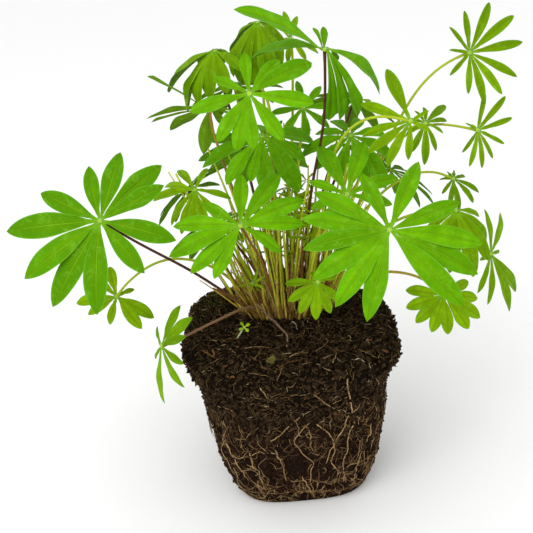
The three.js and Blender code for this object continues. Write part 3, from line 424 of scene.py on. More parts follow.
# A leaflet's width as a share of its length, where its widest place is, how full its outline is and how
# many degrees it folds beyond the usual.
SLENDER = (0.24, 1.3, 0.74, 0)
BROAD = (0.30, 1.35, 0.70, 0)
HANGING = (0.38, 1.25, 0.60, 6)
LEAF_SHAPES = {
    "leaf_left_large": (0.28, 1.3, 0.76, 0),
    "leaf_left_low": (0.31, 1.3, 0.70, 4),
    "leaf_left_middle": (0.22, 1.3, 0.72, 8),
    "leaf_left_underside": BROAD,
    "leaf_upper_left_umbrella": HANGING,
    "leaf_upper_centre": (0.27, 1.5, 0.60, 0),
    "leaf_top_arched": BROAD,
    "leaf_top_umbrella": HANGING,
    "leaf_centre_hanging": (0.34, 1.35, 0.70, 0),
    "leaf_centre_dark": BROAD,
    "leaf_centre_large": (0.26, 1.35, 0.74, 0),
    "leaf_centre_right": (0.27, 1.4, 0.74, 0),
    "leaf_crown_front": BROAD,
    "leaf_right_centre": (0.22, 1.4, 0.72, 10),
    "leaf_right_centre_small": (0.21, 1.3, 0.6, 6),
    "leaf_right_small": (0.21, 1.3, 0.6, 6),
    "leaf_right_low": (0.33, 1.35, 0.66, 0),
    "leaf_right_umbrella": (0.27, 1.25, 0.62, 4),
    "leaf_right_edge": (0.19, 1.3, 0.7, 8),
    "leaf_far_right": (0.16, 1.3, 0.55, 14),
    "leaf_far_right_top": (0.18, 1.3, 0.66, 14),
    "leaf_young_left": (0.19, 1.3, 0.8, 20),
    "leaf_young_right": (0.22, 1.3, 0.8, 16),
    "leaf_beside_soil": (0.25, 1.4, 0.72, 4),
    "leaf_back_centre": BROAD,
    "leaf_back_right_top": BROAD,
    "leaf_back_top": BROAD,
    "young": (0.20, 1.3, 0.8, 24),
    "seedling": (0.5, 1.3, 0.7, 0),
}

# How light each leaf is, where that isn't 0.5: partly its own colour, partly painted light and shade for how
# lit the leaf stands.
LEAF_TONES_AND_LIGHT = {
    "leaf_left_large": -0.02, "leaf_right_front_large": 0.55, "leaf_centre_large": 0.9,
    "leaf_right_centre": 0.45, "leaf_upper_centre": 0.6, "leaf_right_low": 0.95, "leaf_centre_right": 0.6,
    "leaf_top_arched": 0.5, "leaf_centre_hanging": 0.55, "leaf_centre_dark": 0.35, "leaf_crown_front": 0.6,
    "leaf_right_edge": 0.95, "leaf_far_right_top": 0.15, "leaf_far_right": 0.15, "leaf_left_middle": 0.9,
    "leaf_left_low": 0.95, "leaf_top_umbrella": 0.3, "leaf_right_umbrella": 0.85,
}

# What a stalk's colour is where it isn't yellow-green.
STALK_TINTS = {
    "leaf_left_large": "maroon", "leaf_centre_large": "russet", "leaf_top_arched": "maroon",
    "leaf_left_underside": "striped", "leaf_upper_left_umbrella": "maroon", "leaf_centre_hanging": "ochre",
    "leaf_right_front_large": "ochre", "leaf_centre_dark": "maroon", "leaf_right_low": "ochre",
    "leaf_back_left": "maroon", "leaf_back_centre": "ochre", "leaf_back_right_top": "maroon",
    "leaf_beside_soil": "brown",
}
# A stalk's colours, at its base and at its hub.
TINTS = {
    "green": ((0.44, 0.36, 0.030), (0.42, 0.56, 0.020)),
    "ochre": ((0.40, 0.28, 0.030), (0.44, 0.34, 0.030)),
    "maroon": ((0.30, 0.18, 0.030), (0.075, 0.018, 0.014)),
    "russet": ((0.20, 0.09, 0.020), (0.30, 0.13, 0.030)),
    "striped": ((0.12, 0.035, 0.015), (0.40, 0.27, 0.030)),
    "white": ((0.60, 0.62, 0.46), (0.50, 0.62, 0.28)),
    "brown": ((0.30, 0.16, 0.06), (0.26, 0.135, 0.075)),
}

# ---- On the compost --------------------------------------------------------------------------------
DEAD_STALK = [(-10, -4.5, 127), (-6.5, -12, 125.4), (-2.5, -23, 124.8), (-3.5, -38, 123.8)]
DEAD_STALK_BEND = [(-22, -6, 144), (-18, -7.5, 139), (-14, -8, 133), (-9.5, -6, 127.5)]  # where it broke over
DEAD_STALK_RADIUS = 1.0
DEAD_STALK_RIPPLE = (0.08, 40)
# Twigs, straws and pale roots on the compost: finish, radius and places in plan.
TWIGS = [
    (TWIG_TAN, 0.7, [(-33, -34), (-23, -34), (-16, -38)]),
    (TWIG_TAN, 0.7, [(-27, -50), (-22, -38)]),
    (TWIG_BARK, 1.0, [(-64, -29), (-55, -42)]),
    (TWIG_TAN, 0.7, [(-3, -53), (9, -46)]),
    (TWIG_BARK, 0.9, [(-10, -64), (-3, -59), (6, -57)]),
    (TWIG_TAN, 0.5, [(16, -48), (21, -44), (27, -35)]),
    (TWIG_TAN, 0.8, [(27, -64), (31, -51)]),
    (TWIG_BARK, 0.8, [(53, -39), (58, -35)]),
    (ROOT_WHITE, 0.5, [(2, -3), (4, -6), (6, -15)]),
    (ROOT_WHITE, 0.6, [(43, -61), (46, -61), (49, -65)]),
    (TWIG_TAN, 0.5, [(-32, -65), (-25, -69), (-19, -72)]),
    (TWIG_TAN, 1.1, [(22, -1), (21, -18)]),
    (TWIG_TAN, 0.5, [(-13, -76), (-9, -69), (-7, -62)]),
    (TWIG_BARK, 1.5, [(-56, -33), (-55, -40)]),
    (TWIG_BARK, 1.4, [(-45, -68), (-42, -68)]),
    (TWIG_BARK, 1.0, [(-49, -56), (-46, -54)]),
    (TWIG_TAN, 0.6, [(-44, -33), (-40, -39)]),
]
TWIG_THINNING = 0.62
TWIG_TAPER = 0.5
TWIG_CROOK = 0.45
TWIG_LIFT = (0.7, 0.9)  # share of its radius, and what is added
TWIG_DRAWS = 40  # draws kept for each twig
TWIG_SEARCH_HEIGHT = 124
SEEDLING = Leaf(
    "seedling", (-32.5, -18, 132), (10, 58), 16, 14, "sprout", (-37, -18.5, 126), 0.4, whorl(4, 5, 25))
SEEDLING_ROOT = (-43, -19, 117)
SEEDLING_RADIUS = 0.6
SEEDLING_SEED = 99
SEEDLING_HUB = 1.1
SEEDLING_DOME_HEIGHT = 0.7
SEEDLING_THINNESS = 0.7
SCRAP_MIDDLE = (-13, -52, 122.6)
SCRAP_OUTLINE = [(-7.5, 0), (-2.2, -3.5), (3.8, -2.8), (7.5, 0.7), (1.5, 3.5), (-4.5, 2.5)]
SCRAP_TURN = 30
SCRAP_TILT = 32
SCRAP_THICKNESS = 0.5
SCRAP_CURL = (0.018, -0.05)
SCRAP_CRUMPLE = 0.4
MOSS_SEED = 5
# Patches of moss: middle, spread and how many shoots.
MOSS = [((-54, 50, 120), 13, 260), ((-70, 22, 114), 5, 60), ((-60, -38, 112), 2.5, 16)]
MOSS_LENGTHS = (1.2, 2.6)
MOSS_RADIUS = 0.32
MOSS_SPREAD = 0.45
MOSS_LIFT = 0.8

# ---- Stage -----------------------------------------------------------------------------------------
CAMERA_TARGET = (-12.5, 0, 170)
CAMERA_DISTANCE = 780
CAMERA_ELEVATION = 24
CAMERA_ROLL = 5.4
CAMERA_LENS = 73.17
CAMERA_CLIP = 0.01
# In metres.
FLOOR_HALF = 6
FLOOR_DROP = 0.0006
LAMP_SIZE = 1.2
LAMP_PLACE = (-0.7, -1.2, 1.5)
LAMP_TARGET = (0, 0, 0.17)


# ---- Settings --------------------------------------------------------------------------------------

def colour_property(name, description, default):
    """A colour that a user may change, as linear red, green and blue."""
    return bpy.props.FloatVectorProperty(
        name=name, description=description, default=default, subtype="COLOR", size=3, min=0, max=1)


class LupinLeafSettings(bpy.types.PropertyGroup):
    """Sizes and colours of the leaves."""
    thickness: bpy.props.FloatProperty(
        name="Blade thickness", description="Thickness of a leaflet along its midrib",
        default=0.0006, min=0.0002, unit="LENGTH")
    stalk_radius: bpy.props.FloatProperty(
        name="Stalk radius", description="Radius of a leaf stalk halfway up",
        default=0.00104, min=0.0003, unit="LENGTH")
    hair_length: bpy.props.FloatProperty(
        name="Hair length", description="Length of the hairs on stalks and leaflet margins",
        default=0.0011, min=0, unit="LENGTH")
    mature: colour_property("Mature leaf", "Upper side of a full-grown leaf", (0.120, 0.358, 0.0004))
    deep: colour_property("Older leaf", "Upper side of an older, olive leaf", (0.152, 0.325, 0.0004))
    fresh: colour_property("Fresh leaf", "Upper side of a yellower leaf", (0.190, 0.380, 0.0005))
    young: colour_property("Young leaf", "A leaf that is still unfolding", (0.36, 0.56, 0.012))
    hub: colour_property("Hub", "Middle of a leaf, where its leaflets meet", (0.36, 0.58, 0.05))
    rib: colour_property("Midrib", "Midrib of a leaf", (0.21, 0.50, 0.015))


class LupinBallSettings(bpy.types.PropertyGroup):
    """Sizes and colours of the root ball."""
    crumbs: bpy.props.IntProperty(
        name="Crumbs", description="Loose crumbs of compost on the top and shoulder", default=8600, min=0)
    fibres: bpy.props.IntProperty(
        name="Fibres", description="Short fibres in the compost", default=2800, min=0)
    fine_roots: bpy.props.IntProperty(
        name="Fine roots", description="Fine roots on the moulded wall", default=620, min=0)
    compost: colour_property("Compost", "Damp compost", (0.0100, 0.0060, 0.0030))
    root: colour_property("Root", "Cream roots on the wall", (0.34, 0.22, 0.10))


class LupinStageSettings(bpy.types.PropertyGroup):
    """The floor and the light."""
    floor: colour_property("Floor", "The pale floor", (0.94, 0.94, 0.94))
    sky: bpy.props.FloatProperty(name="Sky", description="Strength of the even light", default=1.0, min=0)
    key: bpy.props.FloatProperty(
        name="Key light", description="Power of the soft lamp in front", default=14, min=0, unit="POWER")


# ---- Seeded draws, numbers and directions ------------------------------------------------------------

def draw(seed, use="plain"):
    """A repeatable draw from 0 to 1 for a whole number and a use."""
    mask = 0xFFFFFFFF
    value = (((seed + DRAW_STARTS[use]) ^ 0x9E3779B9) * 0x85EBCA6B) & mask
    value = ((value ^ (value >> 13)) * 0xC2B2AE35) & mask
    value = (value ^ (value >> 16)) & mask
    return value / 4294967296


def swing(seed, use="plain"):
    """A repeatable draw from -1 to 1."""
    return draw(seed, use) * 2 - 1


def held(value):
    """A number held between 0 and 1."""
    return min(1.0, max(0.0, value))


def shares(steps):
    """Evenly spaced numbers from 0 to 1, one for each point of a path with the given steps."""
    return np.linspace(0, 1, steps + 1)


def leaf_axes(face):
    """The directions of a leaf: right and up in its plane, and out of its upper side."""
    heading, tilt = math.radians(face[0]), math.radians(face[1])
    normal = Vector((
        math.sin(heading) * math.cos(tilt), -math.cos(heading) * math.cos(tilt), math.sin(tilt)))
    right = Vector((math.cos(heading), math.sin(heading), 0))
    return right, normal.cross(right), normal


# ---- Templates: small meshes that are copied into a piece, each copy laid out anew --------------------

class Template:
    """A small closed mesh. Its rest points run from 0 to 1 along x and from -1 to 1 across."""

    def __init__(self, name, bm, smooth=True, steps=1):
        bmesh.ops.recalc_face_normals(bm, faces=bm.faces[:])
        self.steps = steps
        self.mesh = bpy.data.meshes.new(name)
        bm.to_mesh(self.mesh)
        bm.free()
        self.rest = np.array([vert.co for vert in self.mesh.vertices], float)
        for layer, values in (("along", self.rest[:, 0]), ("across", self.rest[:, 1]), ("tone", None)):
            attribute = self.mesh.attributes.new(layer, "FLOAT", "POINT")
            if values is not None:
                attribute.data.foreach_set("value", values.astype(np.float32))
        self.mesh.polygons.foreach_set("use_smooth", [smooth] * len(self.mesh.polygons))

    def put(self, bm, points, tone, finish=None):
        """Adds a copy to a mesh, with its points, in millimetres, in the same order as the rest points."""
        self.mesh.vertices.foreach_set("co", (points * MM).astype(np.float32).ravel())
        self.mesh.attributes["tone"].data.foreach_set("value", np.full(len(points), tone, np.float32))
        if finish is not None:
            self.mesh.polygons.foreach_set("material_index", [finish] * len(self.mesh.polygons))
        bm.from_mesh(self.mesh)


def blade_template(rows, columns):
    """A leaflet laid out flat: x from base to tip, y across, z +1 above and -1 below, 0 round the rim."""
    bm = bmesh.new()
    bmesh.ops.create_grid(bm, x_segments=rows, y_segments=columns, size=0.5)
    for vert in bm.verts:
        x, y = vert.co.x + 0.5, vert.co.y * 2
        rim = min(x, 1 - x, 1 - abs(y)) < 1e-4
        vert.co = (x, y, 0 if rim else 1)
    lower = bmesh.ops.duplicate(bm, geom=bm.verts[:] + bm.edges[:] + bm.faces[:])["geom"]
    lower_faces = [item for item in lower if isinstance(item, bmesh.types.BMFace)]
    bmesh.ops.scale(
        bm, vec=(1, 1, -1), verts=[item for item in lower if isinstance(item, bmesh.types.BMVert)])
    bmesh.ops.reverse_faces(bm, faces=lower_faces)
    for face in lower_faces:
        face.material_index = UNDER
    bmesh.ops.remove_doubles(bm, verts=bm.verts[:], dist=1e-5)
    bmesh.ops.pointmerge(bm, verts=[vert for vert in bm.verts if vert.co.x > 0.9999], merge_co=(1, 0, 0))
    for edge in bm.edges:
        edge.smooth = max(abs(vert.co.z) for vert in edge.verts) > 0.5
    return Template("blade", bm)


def cone_along_x(sides, tip_radius, cuts=0):
    """A closed cone or tube of radius 1 whose axis runs from 0 to 1 along x."""
    bm = bmesh.new()
    bmesh.ops.create_cone(bm, cap_ends=True, segments=sides, radius1=1, radius2=tip_radius, depth=1)
    if cuts:
        long_edges = [edge for edge in bm.edges if abs(edge.verts[0].co.z - edge.verts[1].co.z) > 0.5]
        bmesh.ops.subdivide_edges(bm, edges=long_edges, cuts=cuts, use_grid_fill=True)
    bmesh.ops.rotate(bm, cent=(0, 0, 0), matrix=Matrix.Rotation(math.pi / 2, 3, "Y"), verts=bm.verts[:])
    bmesh.ops.translate(bm, vec=(0.5, 0, 0), verts=bm.verts[:])
    return bm


def tube_template(steps, sides):
    """A tube along x with the given steps, closed at both ends."""
    return Template("tube", cone_along_x(sides, 1, steps - 1), steps=steps)


def hair_template():
    """A hair along x: three sides that run to a point."""
    return Template("hair", cone_along_x(3, 0))


def dome_template():
    """A ball of radius 1 with a few dozen faces."""
    bm = bmesh.new()
    bmesh.ops.create_uvsphere(bm, u_segments=12, v_segments=8, radius=1)
    return Template("dome", bm)


def lump_template(seed, roughness, subdivisions=1, smooth=False):
    """An uneven lump about the origin, of radius 1."""
    bm = bmesh.new()
    bmesh.ops.create_icosphere(bm, subdivisions=subdivisions, radius=1)
    for vert in bm.verts:
        vert.co *= 1 + roughness * noise.noise(vert.co * 1.7 + Vector((seed * 7.3, seed, 0)))
    return Template("lump", bm, smooth)


def tube_points(template, path, radii):
    """The points of a tube template laid along a path, with a radius for each point of the path."""
    path = np.asarray(path, float)
    tangents = np.gradient(path, axis=0)
    tangents /= np.linalg.norm(tangents, axis=1)[:, None]
    side = np.cross(tangents[0], np.eye(3)[np.argmin(np.abs(tangents[0]))])
    sides = []
    for tangent in tangents:
        side = side - tangent * side.dot(tangent)
        side = side / np.linalg.norm(side)
        sides.append(side)
    sides = np.array(sides)
    row = np.rint(template.rest[:, 0] * (len(path) - 1)).astype(int)
    radius = np.asarray(radii, float)[row][:, None]
    return (path[row] + sides[row] * template.rest[:, 1:2] * radius
            + np.cross(tangents, sides)[row] * template.rest[:, 2:3] * radius)


def smooth_path(points, steps):
    """A Catmull-Rom curve through the points, at evenly spaced places."""
    points = np.asarray(points, float)
    ends = np.vstack([2 * points[0] - points[1], points, 2 * points[-1] - points[-2]])
    place = np.linspace(0, len(points) - 1, steps + 1)
    index = np.minimum(place.astype(int), len(points) - 2)
    t = (place - index)[:, None]
    a, b, c, d = (ends[index + k] for k in range(4))
    square, cube = 2 * a - 5 * b + 4 * c - d, 3 * b - a - 3 * c + d
    return 0.5 * (2 * b + (c - a) * t + square * t ** 2 + cube * t ** 3)


def placed(name, data):
    """An object with the given data, in the scene."""
    made = bpy.data.objects.new(name, data)
    bpy.context.scene.collection.objects.link(made)
    return made


def finished_mesh(name, bm, materials):
    """A mesh with its materials, made from a bmesh that is then freed."""
    mesh = bpy.data.meshes.new(name)
    bm.to_mesh(mesh)
    bm.free()
    for material in materials:
        mesh.materials.append(material)
    return mesh


def new_piece(name, bm, materials, replaces=()):
    """Makes a finished piece that rides on the plant's body."""
    bm.normal_update()
    piece = placed(name, finished_mesh(name, bm, materials))
    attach(piece, BODY)
    if replaces:
        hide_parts(*replaces)


# ---- Materials -------------------------------------------------------------------------------------

# How the colours of a leaf's details differ from its own: red, green and blue factors, then what is added.
LIGHT_TINT = ((1.44, 1.32, 1), (0, 0, 0))
MARGIN_TINT = ((0.62, 0.88, 1), (0, 0, 0.002))
MIDDLE_TINT = ((1.50, 1.08, 1), (0, 0, 0))
# SHEEN_TINT is a painted sheen: the pale colour of the spots of painted highlight on the leaflets.
SHEEN_TINT = ((1, 1, 1), (0.12, 0.18, 0.035))
RIM_TINT = ((1, 1, 1), (0.12, 0.16, 0.045))
UPPER_ROUGHNESS = 0.5
UNDER_ROUGHNESS = 0.7
LEAF_SHINE = 0.03
UNDER_COLOUR = (0.15, 0.30, 0.02)  # what the underside's colour leans towards
UNDER_SHARE = 0.4


class Finish:
    """A material on one Principled shader, with short ways to add the nodes of a pattern."""

    def __init__(self, name, roughness, specular):
        self.material = bpy.data.materials.get(name) or bpy.data.materials.new(name)
        self.material.use_nodes = True
        self.tree = self.material.node_tree
        self.shader = self.tree.nodes["Principled BSDF"]
        self.shader.inputs["Roughness"].default_value = roughness
        self.shader.inputs["Specular IOR Level"].default_value = specular

    def feed(self, socket, value):
        """Links a socket to a node's output, or sets its number or colour."""
        if isinstance(value, bpy.types.NodeSocket):
            self.tree.links.new(value, socket)
        elif hasattr(value, "__len__") and len(value) == 3 and socket.type == "RGBA":
            socket.default_value = (*value, 1)
        else:
            socket.default_value = value

    def node(self, kind, output=0, inputs=(), **settings):
        """A node with its settings and inputs, and one of its outputs."""
        made = self.tree.nodes.new(kind)
        for key, value in settings.items():
            setattr(made, key, value)
        for key, value in dict(inputs).items():
            self.feed(made.inputs[key], value)
        return made.outputs[output]

    def layer(self, name):
        """One of the mesh's own numbers: along, across or tone."""
        return self.node("ShaderNodeAttribute", "Fac", attribute_name=name)

    def place(self):
        """The place on the piece, in metres."""
        return self.node("ShaderNodeTexCoord", "Object")

    def sums(self, operation, first, second=0.0):
        """One step of arithmetic."""
        return self.node("ShaderNodeMath", inputs={0: first, 1: second}, operation=operation)

    def times(self, first, second):
        """Two numbers multiplied."""
        return self.sums("MULTIPLY", first, second)

    def span(self, value, low, high, start=0.0, end=1.0):
        """A number taken from one range to another, held at its ends."""
        return self.node("ShaderNodeMapRange", inputs={
            "Value": value, "From Min": low, "From Max": high, "To Min": start, "To Max": end})

    def grain(self, scale, detail=3.0, roughness=0.55, distortion=0.0):
        """Soft noise of a given scale, from 0 to 1."""
        return self.node("ShaderNodeTexNoise", "Fac", inputs={
            "Vector": self.place(), "Scale": scale, "Detail": detail, "Roughness": roughness,
            "Distortion": distortion})

    def blend(self, share, first, second):
        """A colour between two others."""
        made = self.tree.nodes.new("ShaderNodeMix")
        made.data_type = "RGBA"
        self.feed(made.inputs[0], share)
        self.feed(made.inputs[6], first)
        self.feed(made.inputs[7], second)
        return made.outputs[2]

    def lay(self, base, pattern, amount, colour):
        """A colour laid over another where a pattern is, by an amount."""
        return self.blend(self.times(pattern, amount), base, colour)

    def colour(self, value):
        """Sets the shader's colour."""
        self.feed(self.shader.inputs["Base Color"], value)

    def bump(self, height, distance, strength=1.0):
        """Fine relief from a height of 0 to 1, over a distance in metres."""
        made = self.node("ShaderNodeBump", inputs={
            "Height": height, "Distance": distance, "Strength": strength})
        self.feed(self.shader.inputs["Normal"], made)


def shade(colour, factor):
    """A darker or lighter colour."""
    return tuple(min(1.0, channel * factor) for channel in colour)


def changed(colour, tint):
    """A colour with its channels multiplied and added to."""
    return tuple(channel * factor + added for channel, factor, added in zip(colour, *tint))


def mixed(first, second, share):
    """A colour between two others."""
    return tuple(a + (b - a) * share for a, b in zip(first, second))


def leaf_side(name, colour, rib, roughness):
    """One side of a leaflet: yellower along its pale midrib, bluer at its margin, with faint veins, painted
    shade on one folded half and in the crease by the midrib, and spots of painted sheen.
    """
    finish = Finish(name, roughness, LEAF_SHINE)
    along, across, tone = finish.layer("along"), finish.layer("across"), finish.layer("tone")
    out = finish.sums("ABSOLUTE", across)
    # Each leaflet's tone: its own random tone, with painted light on leaflets that point down and each leaf's
    # painted light and shade.
    base = finish.blend(tone, shade(colour, 0.64), changed(colour, LIGHT_TINT))
    margin = finish.times(finish.span(out, 0.2, 1), finish.span(along, 0.1, 0.8, 0.3, 1))
    base = finish.lay(base, margin, 0.65, changed(colour, MARGIN_TINT))
    middle = finish.times(finish.span(out, 0.6, 0), finish.span(along, 1, 0.2, 0.1, 1))
    base = finish.lay(base, middle, 0.60, changed(colour, MIDDLE_TINT))
    # Painted shade: one folded half of each leaflet is darker, as if turned away from the light.
    shaded_half = finish.span(across, -0.05, 0.05, 0, 0.22)
    base = finish.blend(shaded_half, base, shade(colour, 0.72))
    blotches = finish.span(finish.grain(95, 5, 0.6), 0.36, 0.66)
    base = finish.lay(base, blotches, 0.52, shade(colour, 0.60))
    # Painted sheen: pale spots of painted highlight.
    sheen_spots = finish.span(finish.grain(160, 4, 0.7, 0.8), 0.52, 0.78)
    base = finish.lay(base, sheen_spots, 0.50, changed(colour, SHEEN_TINT))
    slant = finish.sums("SUBTRACT", finish.times(along, 88), finish.times(out, 13))
    veins = finish.span(finish.sums("SINE", slant), 0.45, 1)
    base = finish.lay(base, veins, 0.10, shade(colour, 0.6))
    # Painted shade darkens the crease beside the midrib, which the bump also sinks.
    shaded_crease = finish.span(out, 0.20, 0.04)
    base = finish.lay(base, shaded_crease, 0.50, shade(colour, 0.55))
    midrib = finish.times(finish.span(out, 0.055, 0.025), finish.span(along, 1.0, 0.1, 0.15, 0.75))
    base = finish.blend(midrib, base, rib)
    foot = finish.span(along, 0.14, 0.02, 0, 0.6)
    base = finish.blend(foot, base, rib)
    rim = finish.span(out, 0.88, 0.97, 0, 0.35)
    base = finish.blend(rim, base, changed(colour, RIM_TINT))
    finish.colour(base)
    relief = finish.sums("ADD", finish.times(veins, -0.35), finish.times(shaded_crease, -0.8))
    finish.bump(finish.sums("ADD", relief, finish.times(finish.grain(420, 2), 0.6)), 0.0003, 0.7)
    return finish.material


def stalk_finish(name, base, top):
    """A stalk whose colour changes from its base to its hub, with fine lengthwise streaks."""
    finish = Finish(name, 0.55, 0.12)
    along, tone = finish.layer("along"), finish.layer("tone")
    colour = finish.blend(finish.span(along, 0.06, 0.42), base, top)
    streaks = finish.span(finish.grain(160, 3, distortion=0.6), 0.3, 0.7)
    colour = finish.lay(colour, streaks, 0.35, shade(base, 0.6))
    finish.colour(finish.lay(colour, tone, 0.3, shade(top, 0.6)))
    finish.bump(finish.grain(700, 2), 0.0002, 0.5)
    return finish.material


def speckled(name, dark, light, scale, roughness=0.9, depth=0.0004):
    """A dull natural finish between two colours, which also differs from one bit to the next."""
    finish = Finish(name, roughness, 0.04)
    speckle = finish.span(finish.grain(scale, 5, 0.65), 0.32, 0.68)
    share = finish.sums("ADD", finish.times(speckle, 0.55), finish.times(finish.layer("tone"), 0.45))
    finish.colour(finish.blend(share, dark, light))
    finish.bump(finish.grain(scale * 3, 4, 0.7), depth, 0.8)
    return finish.material


def compost_finish(compost):
    """Damp compost: near-black with purple-brown patches on the wall."""
    finish = Finish("compost", 0.85, 0.03)
    fine = finish.span(finish.grain(380, 6, 0.7), 0.35, 0.7)
    broad = finish.span(finish.grain(45, 3), 0.35, 0.65)
    colour = finish.blend(fine, shade(compost, 0.05), shade(compost, 2.0))
    height = finish.node("ShaderNodeSeparateXYZ", "Z", inputs={"Vector": finish.place()})
    wall = finish.span(height, (MOULDED_HEIGHT + 12) * MM, (MOULDED_HEIGHT - 8) * MM)
    patches = finish.times(wall, finish.sums("ADD", finish.times(broad, 0.5), 0.3))
    purple = finish.blend(fine, (0.006, 0.0028, 0.0024), (0.038, 0.0150, 0.0090))
    finish.colour(finish.blend(patches, colour, purple))
    finish.bump(finish.grain(900, 6, 0.75), 0.0008, 1.0)
    return finish.material


def leaf_materials(colour, tint):
    """The finishes of a leaf: upper side, underside, stalk, hub and hairs."""
    settings = bpy.context.scene.lupin_leaves
    green = tuple(getattr(settings, colour if colour != "sprout" else "young"))
    rib, hub = tuple(settings.rib), tuple(settings.hub)
    under = mixed(green, UNDER_COLOUR, UNDER_SHARE)
    made = bpy.data.materials
    upper_name, under_name, stalk_name = f"leaf_{colour}_upper", f"leaf_{colour}_under", f"stalk_{tint}"
    return [
        made.get(upper_name) or leaf_side(upper_name, green, rib, UPPER_ROUGHNESS),
        made.get(under_name) or leaf_side(under_name, under, rib, UNDER_ROUGHNESS),
        made.get(stalk_name) or stalk_finish(stalk_name, *TINTS[tint]),
        made.get("leaf_hub") or speckled("leaf_hub", shade(hub, 0.8), shade(hub, 1.15), 600, 0.6, 0.0002),
        made.get("leaf_hair") or speckled("leaf_hair", (0.50, 0.62, 0.30), (0.72, 0.80, 0.52), 200, 0.6),
    ]


# ---- Root ball -------------------------------------------------------------------------------------

def rounded_square(half, squareness, angle):
    """The radius of a rounded square at an angle."""
    if half < 1e-6:
        return 0.0
    x = abs(math.cos(angle) / half) ** squareness
    y = abs(math.sin(angle) / half) ** squareness
    return (x + y) ** (-1 / squareness)


def lumps(angle, z):
    """Lumps and hollows of the compost, from -1 to 1."""
    broad = math.sin(5 * angle + z * 0.07) * math.sin(z * 0.11 + 1.3 * math.sin(3 * angle))
    fine = math.sin(13 * angle - z * 0.31) * math.cos(9 * angle + z * 0.23)
    return 0.55 * broad + 0.45 * fine


def section_at(z):
    """The half-width and squareness of the wall at a height."""
    heights, halves, squarenesses = zip(*BALL_SECTIONS)
    return np.interp(z, heights, halves), np.interp(z, heights, squarenesses)


def crumbliness(z):
    """0 on the moulded wall, 1 on the loose shoulder and top."""
    return held((z - MOULDED_HEIGHT + CRUMBLE_BELOW) / CRUMBLE_SPAN)


def compost_relief(place):
    """How far crumbs and pits stand out of the compost at a place, in millimetres."""
    loose = crumbliness(place.z)
    crumb = 0.5 - noise.voronoi(place * CRUMB_SCALE)[0][0]
    grit = 0.45 - noise.voronoi(place * GRIT_SCALE)[0][0]
    forms = (crumb, grit, noise.noise(place * SWELL_SCALE))
    pits = min(0.0, noise.noise(place * PIT_SCALE + Vector(PIT_OFFSET)) + 0.12) * PIT_DEPTH
    on_top = sum(height * form for height, form in zip(LOOSE_HEIGHTS, forms))
    on_wall = sum(height * form for height, form in zip(WALL_HEIGHTS, forms)) + pits
    return loose * on_top + (1 - loose) * on_wall


def number_by_place(bm):
    """Numbers a mesh's points and faces by where they are, so that each run chooses the same ones."""
    bm.verts.sort(key=lambda vert: vert.co.x + ROW_WEIGHT * vert.co.y + LEVEL_WEIGHT * vert.co.z)
    bm.verts.index_update()
    count = len(bm.verts)

    def rank(face):
        """A face's place in the order, from its lowest numbered points."""
        low, middle, high = sorted(vert.index for vert in face.verts)[:3]
        return float((low * count + middle) * count + high)

    bm.faces.sort(key=rank)
    bm.faces.index_update()


def pressed(place):
    """Where a place on the round, even ball goes when its pot and its loose compost have shaped it."""
    x, y, z = place
    half = math.hypot(x, y)
    angle = math.atan2(y, x)
    squareness = BALL_SECTIONS[0][2] if z < FOOT_TOUCH else section_at(z)[1]
    loose = crumbliness(z)
    rim = held(half / CALM_MIDDLE)
    radius = rounded_square(half, squareness, angle)
    if z > FOOT_TOUCH:
        radius += (WALL_RELIEF + (CRUMB_RELIEF - WALL_RELIEF) * loose) * lumps(angle, z) * rim
    away = (math.degrees(angle) - BULGE_HEADING) / BULGE_SPREAD
    bulge = BULGE_REACH * math.exp(-away * away)
    radius += bulge * held((z - BULGE_FOOT) / BULGE_RISE) * held(half / BULGE_OUT)
    lift = CRUMB_LIFT * loose * lumps(angle + 1.7, z * 3) * rim
    return radius * math.cos(angle), radius * math.sin(angle), z + lift


def ball_mesh(stride, columns, relief):
    """The ball's outside, spun from its profile and pressed into its rounded square, in millimetres."""
    bm = bmesh.new()
    profile = [(0, 0)] + [(half, z) for z, half, _ in BALL_SECTIONS]
    corners = [bm.verts.new((half, 0, z)) for half, z in profile]
    edges = [bm.edges.new(pair) for pair in zip(corners, corners[1:])]
    for edge in edges:
        cuts = int(edge.calc_length() / stride)
        if cuts:
            bmesh.ops.subdivide_edges(bm, edges=[edge], cuts=cuts)
    bmesh.ops.spin(
        bm, geom=bm.verts[:] + bm.edges[:], cent=(0, 0, 0), axis=(0, 0, 1), angle=math.tau, steps=columns,
        use_merge=True)
    bmesh.ops.remove_doubles(bm, verts=bm.verts[:], dist=1e-3)
    bmesh.ops.recalc_face_normals(bm, faces=bm.faces[:])
    number_by_place(bm)
    for vert in bm.verts:
        vert.co = pressed(vert.co)
    if relief:
        bm.normal_update()
        moves = [vert.normal * compost_relief(vert.co) * held(vert.co.z / CALM_FOOT) for vert in bm.verts]
        for vert, move in zip(bm.verts, moves):
            vert.co += move
    return bm


def ball_skin(stride, columns, relief):
    """The ball's outside in triangles, for finding the nearest place on it."""
    bm = ball_mesh(stride, columns, relief)
    bmesh.ops.triangulate(bm, faces=bm.faces[:], quad_method="SHORT_EDGE")
    return BVHTree.FromBMesh(bm)


def surface_spots(bm, count, seed, low, high):
    """Random places on a mesh between two heights, spread by area: each a place and the way out there."""
    rng = np.random.default_rng(seed)
    faces = [face for face in bm.faces if low < face.calc_center_median().z < high]
    areas = np.array([face.calc_area() for face in faces])
    chosen = rng.choice(len(faces), size=count, p=areas / areas.sum())
    return [(faces[i].calc_center_median(), faces[i].normal.copy()) for i in chosen], rng


def turned(direction, rng):
    """A random turn that lays a lump's own z along a direction."""
    spin = Matrix.Rotation(rng.uniform(0, math.tau), 3, "Z")
    return np.array(direction.to_track_quat("Z", "Y").to_matrix() @ spin)


